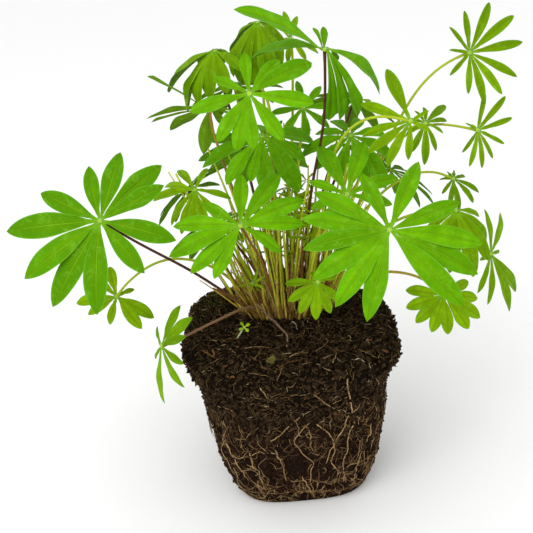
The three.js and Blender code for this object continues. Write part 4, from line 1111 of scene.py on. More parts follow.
def scatter_lumps(bm, ball, count, scatter, templates, finish):
    """Lumps sunk a little into the ball's surface where they lie."""
    spots, rng = surface_spots(ball, count, scatter.seed, scatter.low, scatter.high)
    small, large = scatter.radii
    for place, normal in spots:
        radius = small + (large - small) * rng.random() ** SMALL_BIAS
        lean = Vector(rng.normal(0, scatter.jumble, 3))
        turn = turned((normal + lean).normalized(), rng)
        scale = np.array(scatter.shape) * radius * rng.uniform(*LUMP_STRETCH, 3)
        template = templates[rng.integers(len(templates))]
        centre = np.array(place + normal * radius * scatter.shape[2] * (1 - scatter.sink))
        template.put(bm, (template.rest * scale) @ turn.T + centre, rng.random(), finish)


def laid(skin, points, lift):
    """Points moved onto the compost's surface, and lifted a little off it."""
    path = []
    for point in points:
        place, normal, _, _ = skin.find_nearest(Vector(point))
        path.append(place + normal * lift)
    return np.array(path)


def crawl(skin, start, heading, steps, stride, rng, lift, fall=0.0):
    """A path that keeps to the compost's surface, wandering as it goes and drawn downwards by fall."""
    point, normal, _, _ = skin.find_nearest(start)
    path = []
    turn = 0.0
    for _ in range(steps + 1):
        path.append(point + normal * lift)
        turn = 0.5 * turn + rng.normal(0, WANDER)
        heading = heading + normal.cross(heading) * turn + Vector((0, 0, -fall))
        heading = heading - normal * heading.dot(normal)
        heading.normalize()
        point, normal, _, _ = skin.find_nearest(point + heading * stride)
    return np.array(path)


def add_strand(bm, tube, path, radius, tone, finish, taper=0.75):
    """A round strand along a path, thinner towards its end."""
    radii = radius * (1 - taper * shares(tube.steps) ** 1.5)
    tube.put(bm, tube_points(tube, smooth_path(path, tube.steps), radii), tone, finish)


# ---- Crown and stalks ------------------------------------------------------------------------------

def crown_place(angle, out, middle=(0, 0)):
    """A place in plan, out from a middle by a share of the crown's half-widths."""
    return Vector((
        middle[0] + CROWN_HALF[0] * out * math.cos(angle), middle[1] + CROWN_HALF[1] * out * math.sin(angle)))


def crown_height(x, y):
    """The height of the crown's top below a place in plan."""
    out = math.hypot((x - CROWN_MIDDLE[0]) / CROWN_HALF[0], (y - CROWN_MIDDLE[1]) / CROWN_HALF[1])
    return CROWN_TOP - CROWN_SLOPE * max(0, out - CROWN_FLAT)


def standing_places():
    """Places in plan for the stalks, then for the old stubs, pushed apart inside the crown's rim."""
    middle = Vector(CROWN_MIDDLE)
    places = [((Vector(leaf.hub[:2]) - middle) * CROWN_REACH, False) for leaf in LEAVES]
    for index in range(STUB_COUNT):
        out = math.sqrt((index + 0.5) / STUB_COUNT)
        places.append((crown_place(index * GOLDEN_ANGLE, out), True))
    for _ in range(PUSH_ROUNDS):
        for i, (one, one_stub) in enumerate(places):
            for other, other_stub in places[i + 1:]:
                apart = other - one
                push = ((STUB_SPACING if one_stub or other_stub else STALK_SPACING) - apart.length) / 2
                if push > 0:
                    apart.length = push
                    other += apart
                    one -= apart
        for place, _ in places:
            out = math.hypot(place.x / CROWN_HALF[0], place.y / CROWN_HALF[1]) / CROWN_RIM
            if out > 1:
                place /= out
    return [place + middle for place, _ in places]


def standing_direction(foot):
    """The way that a stalk leaves the crown: up, and outwards near the rim."""
    out = (foot - Vector(CROWN_MIDDLE)) * CROWN_FLARE
    return Vector((out.x, out.y, 1)).normalized()


def stalk_path(leaf, foot, steps):
    """The centre line of a leaf's stalk, from its socket in the crown to the hub."""
    hub = Vector(leaf.hub)
    start = Vector((foot.x, foot.y, crown_height(foot.x, foot.y) - STALK_SOCKET))
    rise = start + standing_direction(foot) * leaf.rise * (hub - start).length
    end = hub - leaf_axes(leaf.face)[2] * STALK_END
    t = shares(steps)[:, None]
    return ((1 - t) ** 3 * np.array(start) + 3 * (1 - t) ** 2 * t * np.array(rise)
            + 3 * (1 - t) * t ** 2 * np.array(leaf.elbow) + t ** 3 * np.array(end))


# ---- Leaves ----------------------------------------------------------------------------------------

def sorted_leaflets(leaf):
    """Each leaflet's angle, length and pitch, and the narrower of the gaps beside it."""
    rows = sorted(
        ((item[0] + 720) % 360, item[1], item[2] if len(item) > 2 else leaf.pitch) for item in leaf.leaflets)
    angles = [row[0] for row in rows]
    gaps = [(after - angle + 360) % 360 for angle, after in zip(angles, angles[1:] + angles[:1])]
    return [(*row, min(gap, before)) for row, gap, before in zip(rows, gaps, gaps[-1:] + gaps[:-1])]


def leaflet_points(blade, leaf, row, seed, hub_radius, thickness):
    """The blade template laid out as one leaflet of a leaf."""
    angle, full_length, pitch, narrowest = row
    angle = math.radians(angle)
    right, up, normal = leaf_axes(leaf.face)
    out = np.array(right * math.cos(angle) + up * math.sin(angle))
    across = np.array(up * math.cos(angle) - right * math.sin(angle))
    normal = np.array(normal)
    length = full_length - hub_radius
    width, widest_at, fullness, folded = LEAF_SHAPES.get(leaf.name, SLENDER)
    fold = math.radians(FOLD + folded + max(0, -pitch) * DROOP_FOLD)
    share = HANGING_SHARE if pitch < HANGING_PITCH else NEIGHBOUR_SHARE
    pitch = math.radians(pitch + PITCH_SWING * swing(seed, "leaflet_pitch"))
    bend = math.radians(leaf.bend * (1 + BEND_SWING * swing(seed, "leaflet_bend")))
    twist = math.radians(SHINGLE + TWIST_SWING * swing(seed, "leaflet_twist"))
    sweep = SWEEP_SWING * swing(seed, "leaflet_sweep") * length
    s, v, z = blade.rest.T[:, :, None]
    hub_share = hub_radius / HUB_RADIUS
    inner = (hub_share * BARE_BASE - hub_radius) / length
    s = inner + (1 - inner) * s
    tilt = pitch - bend * s
    middle = (np.array(leaf.hub) + out * hub_radius
              + out * (length * (math.sin(pitch) - np.sin(tilt)) / bend)
              + normal * (length * (np.cos(tilt) - math.cos(pitch)) / bend)
              + across * (sweep * s * s))
    facing = normal * np.cos(tilt) - out * np.sin(tilt)
    outline = np.maximum(np.sin(math.pi * np.maximum(s, 0) ** widest_at), 0) ** fullness
    room = share * math.radians(narrowest) * math.cos(pitch) * (hub_radius + length * s)
    half = np.minimum(0.5 * width * full_length * outline, room)
    half = np.maximum(half, BASE_HALF * hub_share * (1 - s / BASE_LENGTH))
    half = np.maximum(half, np.minimum(room * NECK_ROOM, NECK_HALF * hub_share) * (s < NECK_LENGTH))
    turn = twist * np.sqrt(np.maximum(s, 0)) + fold * np.sign(v)
    belly = BELLY * half * np.sin(math.pi * np.abs(v))
    phase = draw(seed, "leaflet_wave")
    wave = WAVE * half * np.abs(v) ** 2 * np.sin(math.tau * (WAVE_COUNT * s + phase) + v)
    depth = 0.5 * thickness * (1 - MARGIN_THINNING * np.abs(v)) * (1 - TIP_THINNING * s)
    return (middle + across * (half * v * np.cos(turn))
            + facing * (half * v * np.sin(turn) + belly + wave + z * depth))


def add_leaflets(bm, leaf, seed, blade, hub_radius, thickness):
    """All the leaflets of a leaf."""
    for index, row in enumerate(sorted_leaflets(leaf)):
        number = seed * LEAF_DRAWS + index
        tone = LEAF_TONES_AND_LIGHT.get(leaf.name, 0.5) + TONE_SWING * swing(number, "leaflet_tone")
        # Painted light: leaflets that point down are made lighter than those that point up.
        tone -= PAINTED_LIGHT_LIFT * math.sin(math.radians(row[0]))
        blade.put(bm, leaflet_points(blade, leaf, row, number, hub_radius, thickness), tone)


def hub_points(dome, leaf, radius, height):
    """A dome template laid over the middle of a leaf."""
    right, up, normal = (np.array(axis) for axis in leaf_axes(leaf.face))
    x, y, z = dome.rest.T[:, :, None]
    return np.array(leaf.hub) + right * x * radius + up * y * radius + normal * z * height


def add_hair(bm, hair, base, tip, radius, tone, finish):
    """A fine hair from its base to its tip."""
    hair.put(bm, tube_points(hair, [base, tip], [radius, radius]), tone, finish)


# ---- Operators: one for each piece or group of like pieces, and one for the stage ---------------------

class LUPIN_OT_leaves(bpy.types.Operator):
    """Makes each leaf: a stalk, a hub and a whorl of folded leaflets with hairs"""
    bl_idname = "lupin.leaves"
    bl_label = "Leaves"

    def execute(self, context):
        settings = context.scene.lupin_leaves
        blade = blade_template(*BLADE_GRID)
        stalk = tube_template(*STALK_TUBE)
        dome = dome_template()
        hair = hair_template()
        feet = standing_places()
        for index, leaf in enumerate(LEAVES):
            bm = bmesh.new()
            add_leaflets(bm, leaf, index, blade, HUB_RADIUS, settings.thickness / MM)
            self.add_stalk(bm, leaf, feet[index], stalk, settings.stalk_radius / MM, index)
            dome.put(bm, hub_points(dome, leaf, *HUB_DOME), draw(index), HUB)
            self.add_down(bm, leaf, feet[index], hair, settings.hair_length / MM, index)
            materials = leaf_materials(leaf.colour, STALK_TINTS.get(leaf.name, "green"))
            new_piece(f"{leaf.name}_foliage", bm, materials, [leaf.name])
        return {"FINISHED"}

    def add_stalk(self, bm, leaf, foot, stalk, radius, index):
        """The stalk, thicker where it clasps the crown and where it meets the hub."""
        share = shares(stalk.steps)
        clasp = STALK_CLASP[0] * np.exp(-share * STALK_CLASP[1])
        neck = STALK_NECK[0] * np.exp((share - 1) * STALK_NECK[1])
        radii = radius * (STALK_TAPER[0] - STALK_TAPER[1] * share + clasp + neck)
        wobble = np.sin(math.pi * share)[:, None] * STALK_WOBBLE
        phases = np.array([draw(index + axis, "stalk_wave") for axis in range(3)]) * math.tau
        path = stalk_path(leaf, foot, stalk.steps) + wobble * np.sin(share[:, None] * STALK_WAVES + phases)
        stalk.put(bm, tube_points(stalk, path, radii), draw(index, "stalk_tone"), STALK)

    def add_down(self, bm, leaf, foot, hair, length, index):
        """Hairs on the hub and the upper stalk."""
        rng = np.random.default_rng(index + HAIR_SEED)
        right, up, normal = (np.array(axis) for axis in leaf_axes(leaf.face))
        angles = rng.uniform(0, math.tau, HUB_HAIRS)
        outward = np.cos(angles)[:, None] * right + np.sin(angles)[:, None] * up
        reach = rng.uniform(*HUB_HAIR_REACH, HUB_HAIRS)[:, None] * HUB_RADIUS
        bases = np.array(leaf.hub) + outward * reach + normal * HUB_HAIR_BASE
        slant_out, slant_up = HUB_HAIR_SLANT
        tips = bases + (outward * slant_out + normal * slant_up) * length
        for base, tip in zip(bases, tips):
            add_hair(bm, hair, base, tip, HUB_HAIR_RADIUS, 0.5, HAIR)
        steps, first = HAIRY_STALK
        path = stalk_path(leaf, foot, steps)[first:]
        for point in path[rng.integers(0, len(path), STALK_HAIRS)]:
            direction = rng.normal(0, 1, 3)
            direction /= np.linalg.norm(direction)
            base = point + direction * STALK_HAIR_BASE
            tip = base + direction * (length * STALK_HAIR_LENGTH)
            add_hair(bm, hair, base, tip, STALK_HAIR_RADIUS, 0.5, HAIR)


class LUPIN_OT_crown(bpy.types.Operator):
    """Makes the crown: its woody stock, the stubs and the many old stalk bases that stand in it"""
    bl_idname = "lupin.crown"
    bl_label = "Crown"

    def execute(self, context):
        rng = np.random.default_rng(CROWN_SEED)
        bm = bmesh.new()
        self.add_stock(bm)
        base = tube_template(*BASE_TUBE)
        places = standing_places()
        for index, foot in enumerate(places[len(LEAVES):]):
            height = STUB_HEIGHT[0] + (STUB_HEIGHT[1] - STUB_HEIGHT[0]) * draw(index, "stub_height")
            radius = STUB_RADIUS * (STUB_SIZES[0] + STUB_SIZES[1] * draw(index, "stub_radius"))
            self.add_base(bm, base, foot, height, radius, rng)
        for foot in places[:len(LEAVES)]:
            for _ in range(SIDE_BASES):
                near = foot + Vector(rng.normal(0, SIDE_SPREAD, 2))
                self.add_base(bm, base, near, rng.uniform(*SIDE_HEIGHTS), rng.uniform(*SIDE_RADII), rng)
        for (low, high), radii, count, finish, sway in CROWN_BUNCHES:
            for _ in range(count):
                angle, out = rng.uniform(0, math.tau), CROWN_FILL * math.sqrt(rng.random())
                foot = crown_place(angle, out, CROWN_MIDDLE)
                height = low + (high - low) * rng.random() ** LOW_BIAS
                self.add_base(bm, base, foot, height, rng.uniform(*radii), rng, finish, sway)
        self.add_young_leaves(bm, rng)
        new_piece("crown_bases", bm, [
            speckled("crown_stock", (0.035, 0.020, 0.010), (0.14, 0.08, 0.035), 350),
            speckled("stalk_base_ochre", (0.17, 0.09, 0.014), (0.80, 0.60, 0.10), 240, 0.7),
            speckled("stalk_base_brown", (0.055, 0.022, 0.008), (0.36, 0.19, 0.045), 240, 0.8),
            speckled("stalk_standing", (0.40, 0.42, 0.016), (0.70, 0.80, 0.060), 120, 0.6),
            speckled("stalk_shreds", (0.20, 0.10, 0.035), (0.70, 0.52, 0.22), 240, 0.8),
            leaf_side("leaf_folded", (0.36, 0.56, 0.006), (0.55, 0.72, 0.05), UPPER_ROUGHNESS),
        ], ["crown"])
        return {"FINISHED"}

    def add_stock(self, bm):
        """The woody mound that everything stands in."""
        lump = lump_template(STOCK_SEED, STOCK_ROUGHNESS, subdivisions=3, smooth=True)
        middle = np.array([*CROWN_MIDDLE, (CROWN_BOTTOM + CROWN_TOP) / 2])
        size = np.array([
            CROWN_HALF[0] * CROWN_FILL, CROWN_HALF[1] * CROWN_FILL, (CROWN_TOP - CROWN_BOTTOM) / 2])
        lump.put(bm, lump.rest * size + middle, 0.5, STOCK)

    def add_base(self, bm, base, foot, height, radius, rng, finish=None, sway=BASE_SWAY):
        """An old stalk base, slightly crooked and torn off at its top."""
        start = np.array([foot.x, foot.y, crown_height(foot.x, foot.y) - STALK_SOCKET])
        lean = np.array(standing_direction(foot)) + [*rng.normal(0, sway, 2), 0]
        share = shares(base.steps)[:, None]
        curl = np.array([*rng.normal(0, sway * BASE_CURL, 2), 0]) * height
        path = start + lean * share * (height + STALK_SOCKET) + curl * share ** 2
        radii = radius * (BASE_TAPER[0] - BASE_TAPER[1] * share[:, 0])
        if finish is None:
            finish = OCHRE if rng.random() < OCHRE_BASES else BROWN
        base.put(bm, tube_points(base, path, radii), rng.random(), finish)

    def add_young_leaves(self, bm, rng):
        """Small leaves that are still folded, each a bunch of slim blades, among the stalks."""
        blade = blade_template(*SMALL_BLADE_GRID)
        for _ in range(YOUNG_LEAVES):
            x, y = rng.uniform(*YOUNG_X), rng.uniform(*YOUNG_Y)
            face = (rng.uniform(*YOUNG_HEADINGS), rng.uniform(*YOUNG_TILTS))
            hub, pitch = (x, y, rng.uniform(*YOUNG_Z)), rng.uniform(*YOUNG_PITCHES)
            count, length = int(rng.integers(*YOUNG_COUNTS)), rng.uniform(*YOUNG_LENGTHS)
            leaflets = whorl(count, length, rng.uniform(*YOUNG_STARTS))
            leaf = Leaf("young", hub, face, pitch, YOUNG_BEND, "young", None, 0, leaflets)
            for row in sorted_leaflets(leaf):
                seed = int(rng.integers(1e6))
                points = leaflet_points(blade, leaf, row, seed, YOUNG_HUB, YOUNG_THICKNESS)
                blade.put(bm, points, rng.random(), FOLDED)


class LUPIN_OT_root_ball(bpy.types.Operator):
    """Makes the ball of compost with its crumbs, fibres and bits of bark"""
    bl_idname = "lupin.root_ball"
    bl_label = "Root ball"

    def execute(self, context):
        settings = context.scene.lupin_ball
        compost = tuple(settings.compost)
        ball = ball_mesh(*BALL_GRID)
        crumbs, wall_crumbs, fibres = bmesh.new(), bmesh.new(), bmesh.new()
        kinds = [lump_template(seed, LUMP_ROUGHNESS) for seed in range(LUMP_KINDS)]
        scatter_lumps(crumbs, ball, settings.crumbs, TOP_CRUMBS, kinds, CRUMB)
        scatter_lumps(wall_crumbs, ball, settings.crumbs // LOW_CRUMB_SHARE, LOW_CRUMBS, kinds, CRUMB)
        scatter_lumps(wall_crumbs, ball, settings.crumbs // UPPER_CRUMB_SHARE, UPPER_CRUMBS, kinds, CRUMB)
        scatter_lumps(crumbs, ball, BARK_COUNT, BARK_BITS, kinds, BARK)
        self.add_fibres(fibres, ball, settings.fibres)
        for face in ball.faces:
            face.smooth = True
        bmesh.ops.scale(ball, vec=(MM, MM, MM), verts=ball.verts[:])
        new_piece("compost_ball", ball, [compost_finish(compost)], ["root_ball"])
        crumb = speckled("compost_crumb", shade(compost, 0.01), shade(compost, 6.2), 500)
        bark = speckled("bark_bit", (0.045, 0.020, 0.009), (0.19, 0.085, 0.036), 300, 0.8)
        new_piece("compost_crumbs", crumbs, [crumb, bark])
        new_piece("wall_crumbs", wall_crumbs, [crumb])
        new_piece("compost_fibres", fibres, [
            speckled("fibre_brown", (0.02, 0.011, 0.005), (0.31, 0.19, 0.078), 300, 0.8),
            speckled("fibre_pale", (0.25, 0.17, 0.08), (0.62, 0.50, 0.30), 300, 0.8),
        ])
        return {"FINISHED"}

    def add_fibres(self, bm, ball, count):
        """Short fibres that lie on the compost and lift off it a little."""
        skin = ball_skin(*PLAIN_SKIN)
        strand = tube_template(*FIBRE_TUBE)
        spots, rng = surface_spots(ball, count, FIBRE_SEED, FIBRE_LOW, math.inf)
        for place, _ in spots:
            heading = Vector(rng.normal(0, 1, 3))
            stride, lift = rng.uniform(*FIBRE_STRIDES), rng.uniform(*FIBRE_LIFTS)
            path = crawl(skin, place, heading, strand.steps, stride, rng, lift)
            path[:, 2] += np.linspace(0, rng.normal(0, FIBRE_RISE), strand.steps + 1)
            radius, tone = rng.uniform(*FIBRE_RADII), rng.random() ** 1.5
            add_strand(bm, strand, path, radius, tone, int(rng.random() < PALE_FIBRES))


class LUPIN_OT_roots(bpy.types.Operator):
    """Makes the net of roots that holds the moulded wall together"""
    bl_idname = "lupin.roots"
    bl_label = "Roots"

    def execute(self, context):
        settings = context.scene.lupin_ball
        skin = ball_skin(*ROOT_SKIN)
        bm = bmesh.new()
        strong = tube_template(*STRONG_ROOT_TUBE)
        fine = tube_template(*FINE_ROOT_TUBE)
        rng = np.random.default_rng(ROOT_SEED)
        noise.seed_set(ROOT_SEED)
        for index in range(ROOT_STRANDS):
            self.add_wall_root(bm, strong, skin, index)
        self.add_foot_ring(bm, strong, skin)
        for radius, points in FRONT_ROOTS:
            self.add_front_root(bm, strong, skin, rng, radius * FRONT_ROOT_THINNING, points)
        for _ in range(settings.fine_roots):
            heading = rng.uniform(0, 360)
            height = FINE_ROOT_LOW + (MOULDED_HEIGHT - FINE_ROOT_LOW) * rng.random() ** FINE_ROOT_BIAS
            self.add_fine_root(bm, fine, skin, rng, heading, height)
        for heading, height, wide, high in ROOT_THICKETS:
            for _ in range(THICKET_ROOTS):
                spot = rng.normal(heading, wide), abs(rng.normal(height, high)) + THICKET_LOW
                self.add_fine_root(bm, fine, skin, rng, *spot)
        root = tuple(settings.root)
        new_piece("root_net", bm, [
            speckled("root_cream", shade(root, 0.12), shade(root, 1.75), 260, 0.7),
            speckled("root_tan", (0.035, 0.017, 0.008), (0.24, 0.13, 0.055), 260, 0.75),
        ], ["roots"])
        return {"FINISHED"}

    def wall_point(self, angle, z):
        """A place on the wall."""
        radius = rounded_square(*section_at(z), angle)
        return Vector((radius * math.cos(angle), radius * math.sin(angle), z))

    def add_wall_root(self, bm, tube, skin, index):
        """A strong root that comes down the wall."""
        start = (index + 0.5) / ROOT_STRANDS * 360
        high = ROOT_HIGH - ROOT_HIGH_SPREAD * draw(index, "root_high")
        low = ROOT_LOW + ROOT_LOW_SPREAD * draw(index, "root_low")
        points = []
        for step in range(ROOT_STRAND_STEPS + 1):
            angle = math.radians(start + ROOT_WANDER * swing(index * ROOT_STRAND_DRAWS + step))
            points.append(self.wall_point(angle, high + (low - high) * (step / ROOT_STRAND_STEPS)))
        path = laid(skin, smooth_path(points, tube.steps), ROOT_STRAND_LIFT)
        wave = np.sin(np.arange(tube.steps + 1) * ROOT_WAVE_TURN + index)[:, None] * ROOT_WAVE
        path[:, :2] += wave * np.array([-math.sin(math.radians(start)), math.cos(math.radians(start))])
        least, added = ROOT_STRAND_SIZES
        size = least + added * draw(index, "root_radius")
        radii = np.linspace(*ROOT_STRAND_RADII, tube.steps + 1) * size
        finish = TAN if draw(index, "root_finish") < TAN_STRANDS else CREAM
        tube.put(bm, tube_points(tube, path, radii), draw(index, "root_tone"), finish)

    def add_foot_ring(self, bm, tube, skin):
        """The root that runs round the foot of the wall, in parts that overlap."""
        points = []
        for step in range(RING_STEPS + 1):
            turn = step / RING_STEPS * math.tau * RING_REACH
            height = RING_HEIGHT + RING_SWAY * math.sin(turn * 3 + 1) + swing(step, "ring_height")
            points.append(self.wall_point(turn, height))
        radii = RING_RADIUS * (1 - ROOT_TAPER * np.abs(np.linspace(-1, 1, tube.steps + 1)))
        for part in range(RING_PARTS):
            first = part * RING_PART_STEPS
            path = laid(skin, smooth_path(points[first:first + RING_PART_STEPS + 2], tube.steps), RING_LIFT)
            tube.put(bm, tube_points(tube, path, radii), draw(part, "ring_tone"), part % 2)

    def add_front_root(self, bm, tube, skin, rng, radius, points):
        """A strong root through the given headings and heights."""
        path = [self.wall_point(math.radians(angle), z) for angle, z in points]
        path = laid(skin, smooth_path(path, tube.steps), radius)
        crooks = [noise.noise_vector(Vector(point) * FRONT_ROOT_CROOKS) for point in path]
        path += np.array(crooks) * FRONT_ROOT_CROOK
        radii = radius * (1 - ROOT_TAPER * shares(tube.steps) ** 2)
        tube.put(bm, tube_points(tube, path, radii), rng.uniform(*FRONT_ROOT_TONES), CREAM)

    def add_fine_root(self, bm, tube, skin, rng, angle, z):
        """A fine root that starts at a heading and height, with a branch or two."""
        start = self.wall_point(math.radians(angle), z)
        sideways = rng.normal(0, FINE_ROOT_SPREAD), rng.normal(0, FINE_ROOT_SPREAD)
        heading = Vector((*sideways, -1 if rng.random() < DOWNWARD_ROOTS else 1))
        length = FINE_ROOT_LENGTHS[0] + FINE_ROOT_LENGTHS[1] * rng.random() ** SHORT_ROOT_BIAS
        radius = rng.uniform(*FINE_ROOT_RADII)
        finish = int(rng.random() < 0.5)
        floor = radius + FLOOR_CLEARANCE

        def grow(place, heading, length, radius, lift):
            """Adds a root from a place, held clear of the floor, and gives its path."""
            path = crawl(skin, place, heading, tube.steps, length / tube.steps, rng, lift, FINE_ROOT_FALL)
            path[:, 2] = np.maximum(path[:, 2], floor)
            add_strand(bm, tube, path, radius, rng.random(), finish)
            return path

        path = grow(start, heading, length, radius, FINE_ROOT_LIFT)
        for _ in range(rng.integers(0, 3)):
            spot = Vector(path[rng.integers(1, 7)])
            aside = heading + Vector(rng.normal(0, BRANCH_SPREAD, 3))
            grow(spot, aside, length * BRANCH_SHORTENING, radius * BRANCH_THINNING, BRANCH_LIFT)


class LUPIN_OT_surface_bits(bpy.types.Operator):
    """Makes what lies and grows on the compost: a dead stalk, a seedling, a leaf scrap and moss"""
    bl_idname = "lupin.surface_bits"
    bl_label = "Surface bits"

    def execute(self, context):
        self.dead_stalk()
        self.seedling(context.scene.lupin_leaves.thickness / MM)
        self.scrap()
        skin = ball_skin(*PLAIN_SKIN)
        self.twigs(skin)
        self.moss(skin)
        return {"FINISHED"}

    def dead_stalk(self):
        """The dead stalk that lies on the compost, and the end where it broke over."""
        bm = bmesh.new()
        tube = tube_template(*DEAD_STALK_TUBE)
        share = shares(tube.steps)
        ripple = DEAD_STALK_RIPPLE[0] * np.sin(share * DEAD_STALK_RIPPLE[1])
        lying, bent = (smooth_path(points, tube.steps) for points in (DEAD_STALK, DEAD_STALK_BEND))
        tube.put(bm, tube_points(tube, lying, DEAD_STALK_RADIUS * (0.95 - 0.35 * share + ripple)), 0.5, 0)
        tube.put(bm, tube_points(tube, bent, DEAD_STALK_RADIUS * (0.65 + 0.25 * share)), 0.4, 0)
        finish = speckled("dead_stalk", (0.10, 0.050, 0.032), (0.36, 0.24, 0.16), 260, 0.75)
        new_piece("dead_stalk_twig", bm, [finish], ["dead_stalk"])

    def seedling(self, thickness):
        """The seedling that stands in the compost."""
        bm = bmesh.new()
        blade = blade_template(*SMALL_BLADE_GRID)
        add_leaflets(bm, SEEDLING, SEEDLING_SEED, blade, SEEDLING_HUB, thickness * SEEDLING_THINNESS)
        stem = tube_template(*STALK_TUBE)
        path = smooth_path([SEEDLING_ROOT, SEEDLING.elbow, SEEDLING.hub], stem.steps)
        stem.put(bm, tube_points(stem, path, np.full(stem.steps + 1, SEEDLING_RADIUS)), 0.4, STALK)
        dome = dome_template()
        dome.put(bm, hub_points(dome, SEEDLING, SEEDLING_HUB, SEEDLING_DOME_HEIGHT), 0.5, HUB)
        new_piece("seedling_sprout", bm, leaf_materials("sprout", "white"), ["seedling"])

    def scrap(self):
        """The withered scrap of leaf, curled and crumpled."""
        bm = bmesh.new()
        ring = bmesh.ops.create_circle(bm, cap_ends=True, segments=len(SCRAP_OUTLINE), radius=1)["verts"]
        for vert, (x, y) in zip(ring, SCRAP_OUTLINE):
            vert.co = (x, y, 0)
        bmesh.ops.triangulate(bm, faces=bm.faces[:])
        bmesh.ops.subdivide_edges(bm, edges=bm.edges[:], cuts=3, use_grid_fill=True)
        for vert in bm.verts:
            x, y, _ = vert.co
            crumple = SCRAP_CRUMPLE * noise.noise(Vector((x * 0.4, y * 0.4, 5)))
            vert.co.z = SCRAP_CURL[0] * x * x + SCRAP_CURL[1] * y * y + crumple
        bmesh.ops.solidify(bm, geom=bm.faces[:], thickness=SCRAP_THICKNESS)
        bmesh.ops.recalc_face_normals(bm, faces=bm.faces[:])
        turn = Matrix.Rotation(math.radians(SCRAP_TURN), 4, "Z")
        tilt = Matrix.Rotation(math.radians(SCRAP_TILT), 4, "X")
        bmesh.ops.transform(
            bm, matrix=Matrix.Translation(SCRAP_MIDDLE) @ (turn @ tilt), verts=bm.verts[:])
        bmesh.ops.scale(bm, vec=(MM, MM, MM), verts=bm.verts[:])
        finish = speckled("leaf_scrap", (0.075, 0.060, 0.015), (0.24, 0.23, 0.05), 250, 0.7)
        new_piece("leaf_scrap_flake", bm, [finish], ["leaf_scrap"])

    def twigs(self, skin):
        """Twigs, straws and pale roots that lie on the compost."""
        bm = bmesh.new()
        tube = tube_template(*TWIG_TUBE)
        for index, (finish, radius, places) in enumerate(TWIGS):
            lift = radius * TWIG_LIFT[0] + TWIG_LIFT[1]
            path = laid(skin, [(x, y, TWIG_SEARCH_HEIGHT) for x, y in places], lift)
            path = smooth_path(path, tube.steps)
            first = index * TWIG_DRAWS
            crooks = [[swing(first + 3 * step + axis) for axis in range(3)] for step in range(len(path))]
            path += np.array(crooks) * TWIG_CROOK
            add_strand(bm, tube, path, radius * TWIG_THINNING, draw(index, "twig_tone"), finish, TWIG_TAPER)
        new_piece("twigs", bm, [
            speckled("twig_tan", (0.07, 0.035, 0.014), (0.36, 0.23, 0.10), 300, 0.8),
            speckled("root_white", (0.34, 0.28, 0.20), (0.72, 0.66, 0.54), 300, 0.7),
            speckled("twig_bark", (0.06, 0.024, 0.009), (0.25, 0.11, 0.042), 300, 0.8),
        ])

    def moss(self, skin):
        """Patches of moss on the compost's shoulder."""
        bm = bmesh.new()
        hair = hair_template()
        rng = np.random.default_rng(MOSS_SEED)
        for centre, spread, count in MOSS:
            for _ in range(count):
                place, normal, _, _ = skin.find_nearest(Vector(centre) + Vector(rng.normal(0, spread, 3)))
                direction = np.array(normal) + rng.normal(0, MOSS_SPREAD, 3)
                base = np.array(place) + np.array(normal) * MOSS_LIFT
                tip = base + direction * rng.uniform(*MOSS_LENGTHS)
                add_hair(bm, hair, base, tip, MOSS_RADIUS, rng.random(), 0)
        finish = speckled("moss", (0.030, 0.045, 0.006), (0.14, 0.18, 0.02), 300, 0.8)
        new_piece("moss", bm, [finish])


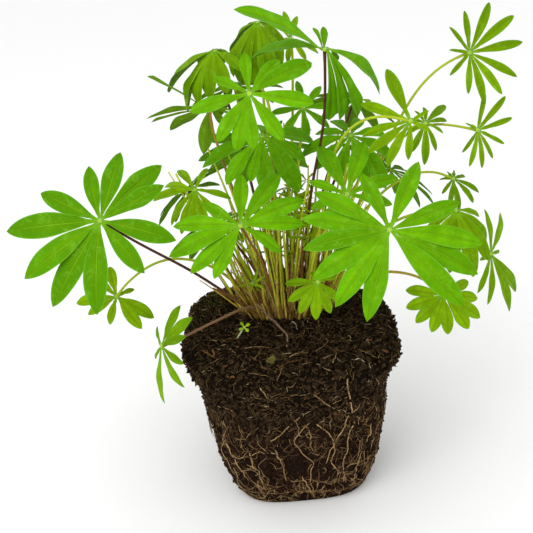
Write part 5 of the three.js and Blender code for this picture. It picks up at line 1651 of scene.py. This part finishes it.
class LUPIN_OT_stage(bpy.types.Operator):
    """Sets the pale floor, the soft light and the camera"""
    bl_idname = "lupin.stage"
    bl_label = "Stage"

    def execute(self, context):
        settings = context.scene.lupin_stage
        self.floor(tuple(settings.floor))
        self.light(settings)
        self.camera()
        context.scene.view_settings.view_transform = "Standard"
        return {"FINISHED"}

    def floor(self, colour):
        """The pale floor, just below the plant."""
        bm = bmesh.new()
        bmesh.ops.create_grid(bm, x_segments=1, y_segments=1, size=FLOOR_HALF)
        bmesh.ops.translate(bm, vec=(0, 0, -FLOOR_DROP), verts=bm.verts[:])
        finish = Finish("floor", 0.9, 0.2)
        finish.colour(finish.blend(finish.grain(3, 2), colour, shade(colour, 0.985)))
        placed("floor", finished_mesh("floor", bm, [finish.material]))

    def light(self, settings):
        """Even light from all round, and a soft lamp in front."""
        world = bpy.data.worlds.new("sky")
        world.use_nodes = True
        background = world.node_tree.nodes["Background"].inputs
        background["Color"].default_value = (1, 1, 1, 1)
        background["Strength"].default_value = settings.sky
        bpy.context.scene.world = world
        lamp = bpy.data.lights.new("key", "AREA")
        lamp.energy = settings.key
        lamp.size = LAMP_SIZE
        key = placed("key", lamp)
        key.location = LAMP_PLACE
        key.rotation_euler = (Vector(LAMP_TARGET) - key.location).to_track_quat("-Z", "Y").to_euler()

    def camera(self):
        """The camera, which looks down a little and is rolled a little."""
        elevation, roll = math.radians(CAMERA_ELEVATION), math.radians(CAMERA_ROLL)
        forward = Vector((0, math.cos(elevation), -math.sin(elevation)))
        level_right, level_up = Vector((1, 0, 0)), Vector((0, math.sin(elevation), math.cos(elevation)))
        right = level_right * math.cos(roll) - level_up * math.sin(roll)
        up = level_up * math.cos(roll) + level_right * math.sin(roll)
        camera = placed("camera", bpy.data.cameras.new("camera"))
        camera.data.lens = CAMERA_LENS
        camera.data.clip_start = CAMERA_CLIP
        place = (Vector(CAMERA_TARGET) - forward * CAMERA_DISTANCE) * MM
        camera.matrix_world = Matrix.Translation(place) @ Matrix((right, up, -forward)).transposed().to_4x4()
        bpy.context.scene.camera = camera


class LUPIN_PT_panel(bpy.types.Panel):
    """The plant's pieces and settings"""
    bl_label = "Lupin"
    bl_idname = "LUPIN_PT_panel"
    bl_space_type = "VIEW_3D"
    bl_region_type = "UI"
    bl_category = "Lupin"

    def draw(self, context):
        """Lists the operators and the settings."""
        for operator in OPERATORS:
            self.layout.operator(operator.bl_idname)
        for group in SETTINGS:
            settings = getattr(context.scene, group)
            box = self.layout.box()
            for name in settings.__annotations__:
                box.prop(settings, name)


SETTINGS = {
    "lupin_leaves": LupinLeafSettings, "lupin_ball": LupinBallSettings, "lupin_stage": LupinStageSettings}
OPERATORS = (
    LUPIN_OT_stage, LUPIN_OT_root_ball, LUPIN_OT_roots, LUPIN_OT_surface_bits, LUPIN_OT_crown,
    LUPIN_OT_leaves)


def register():
    """Registers the settings, operators and panel."""
    for name, group in SETTINGS.items():
        bpy.utils.register_class(group)
        setattr(bpy.types.Scene, name, bpy.props.PointerProperty(type=group))
    for item in (*OPERATORS, LUPIN_PT_panel):
        bpy.utils.register_class(item)


def unregister():
    """Removes what register added."""
    for item in reversed((*OPERATORS, LUPIN_PT_panel)):
        bpy.utils.unregister_class(item)
    for name, group in reversed(SETTINGS.items()):
        delattr(bpy.types.Scene, name)
        bpy.utils.unregister_class(group)


def main():
    """Makes every piece in order."""
    register()
    bpy.ops.lupin.stage()
    bpy.ops.lupin.root_ball()
    bpy.ops.lupin.roots()
    bpy.ops.lupin.surface_bits()
    bpy.ops.lupin.crown()
    bpy.ops.lupin.leaves()


if __name__ == "__main__":
    main()
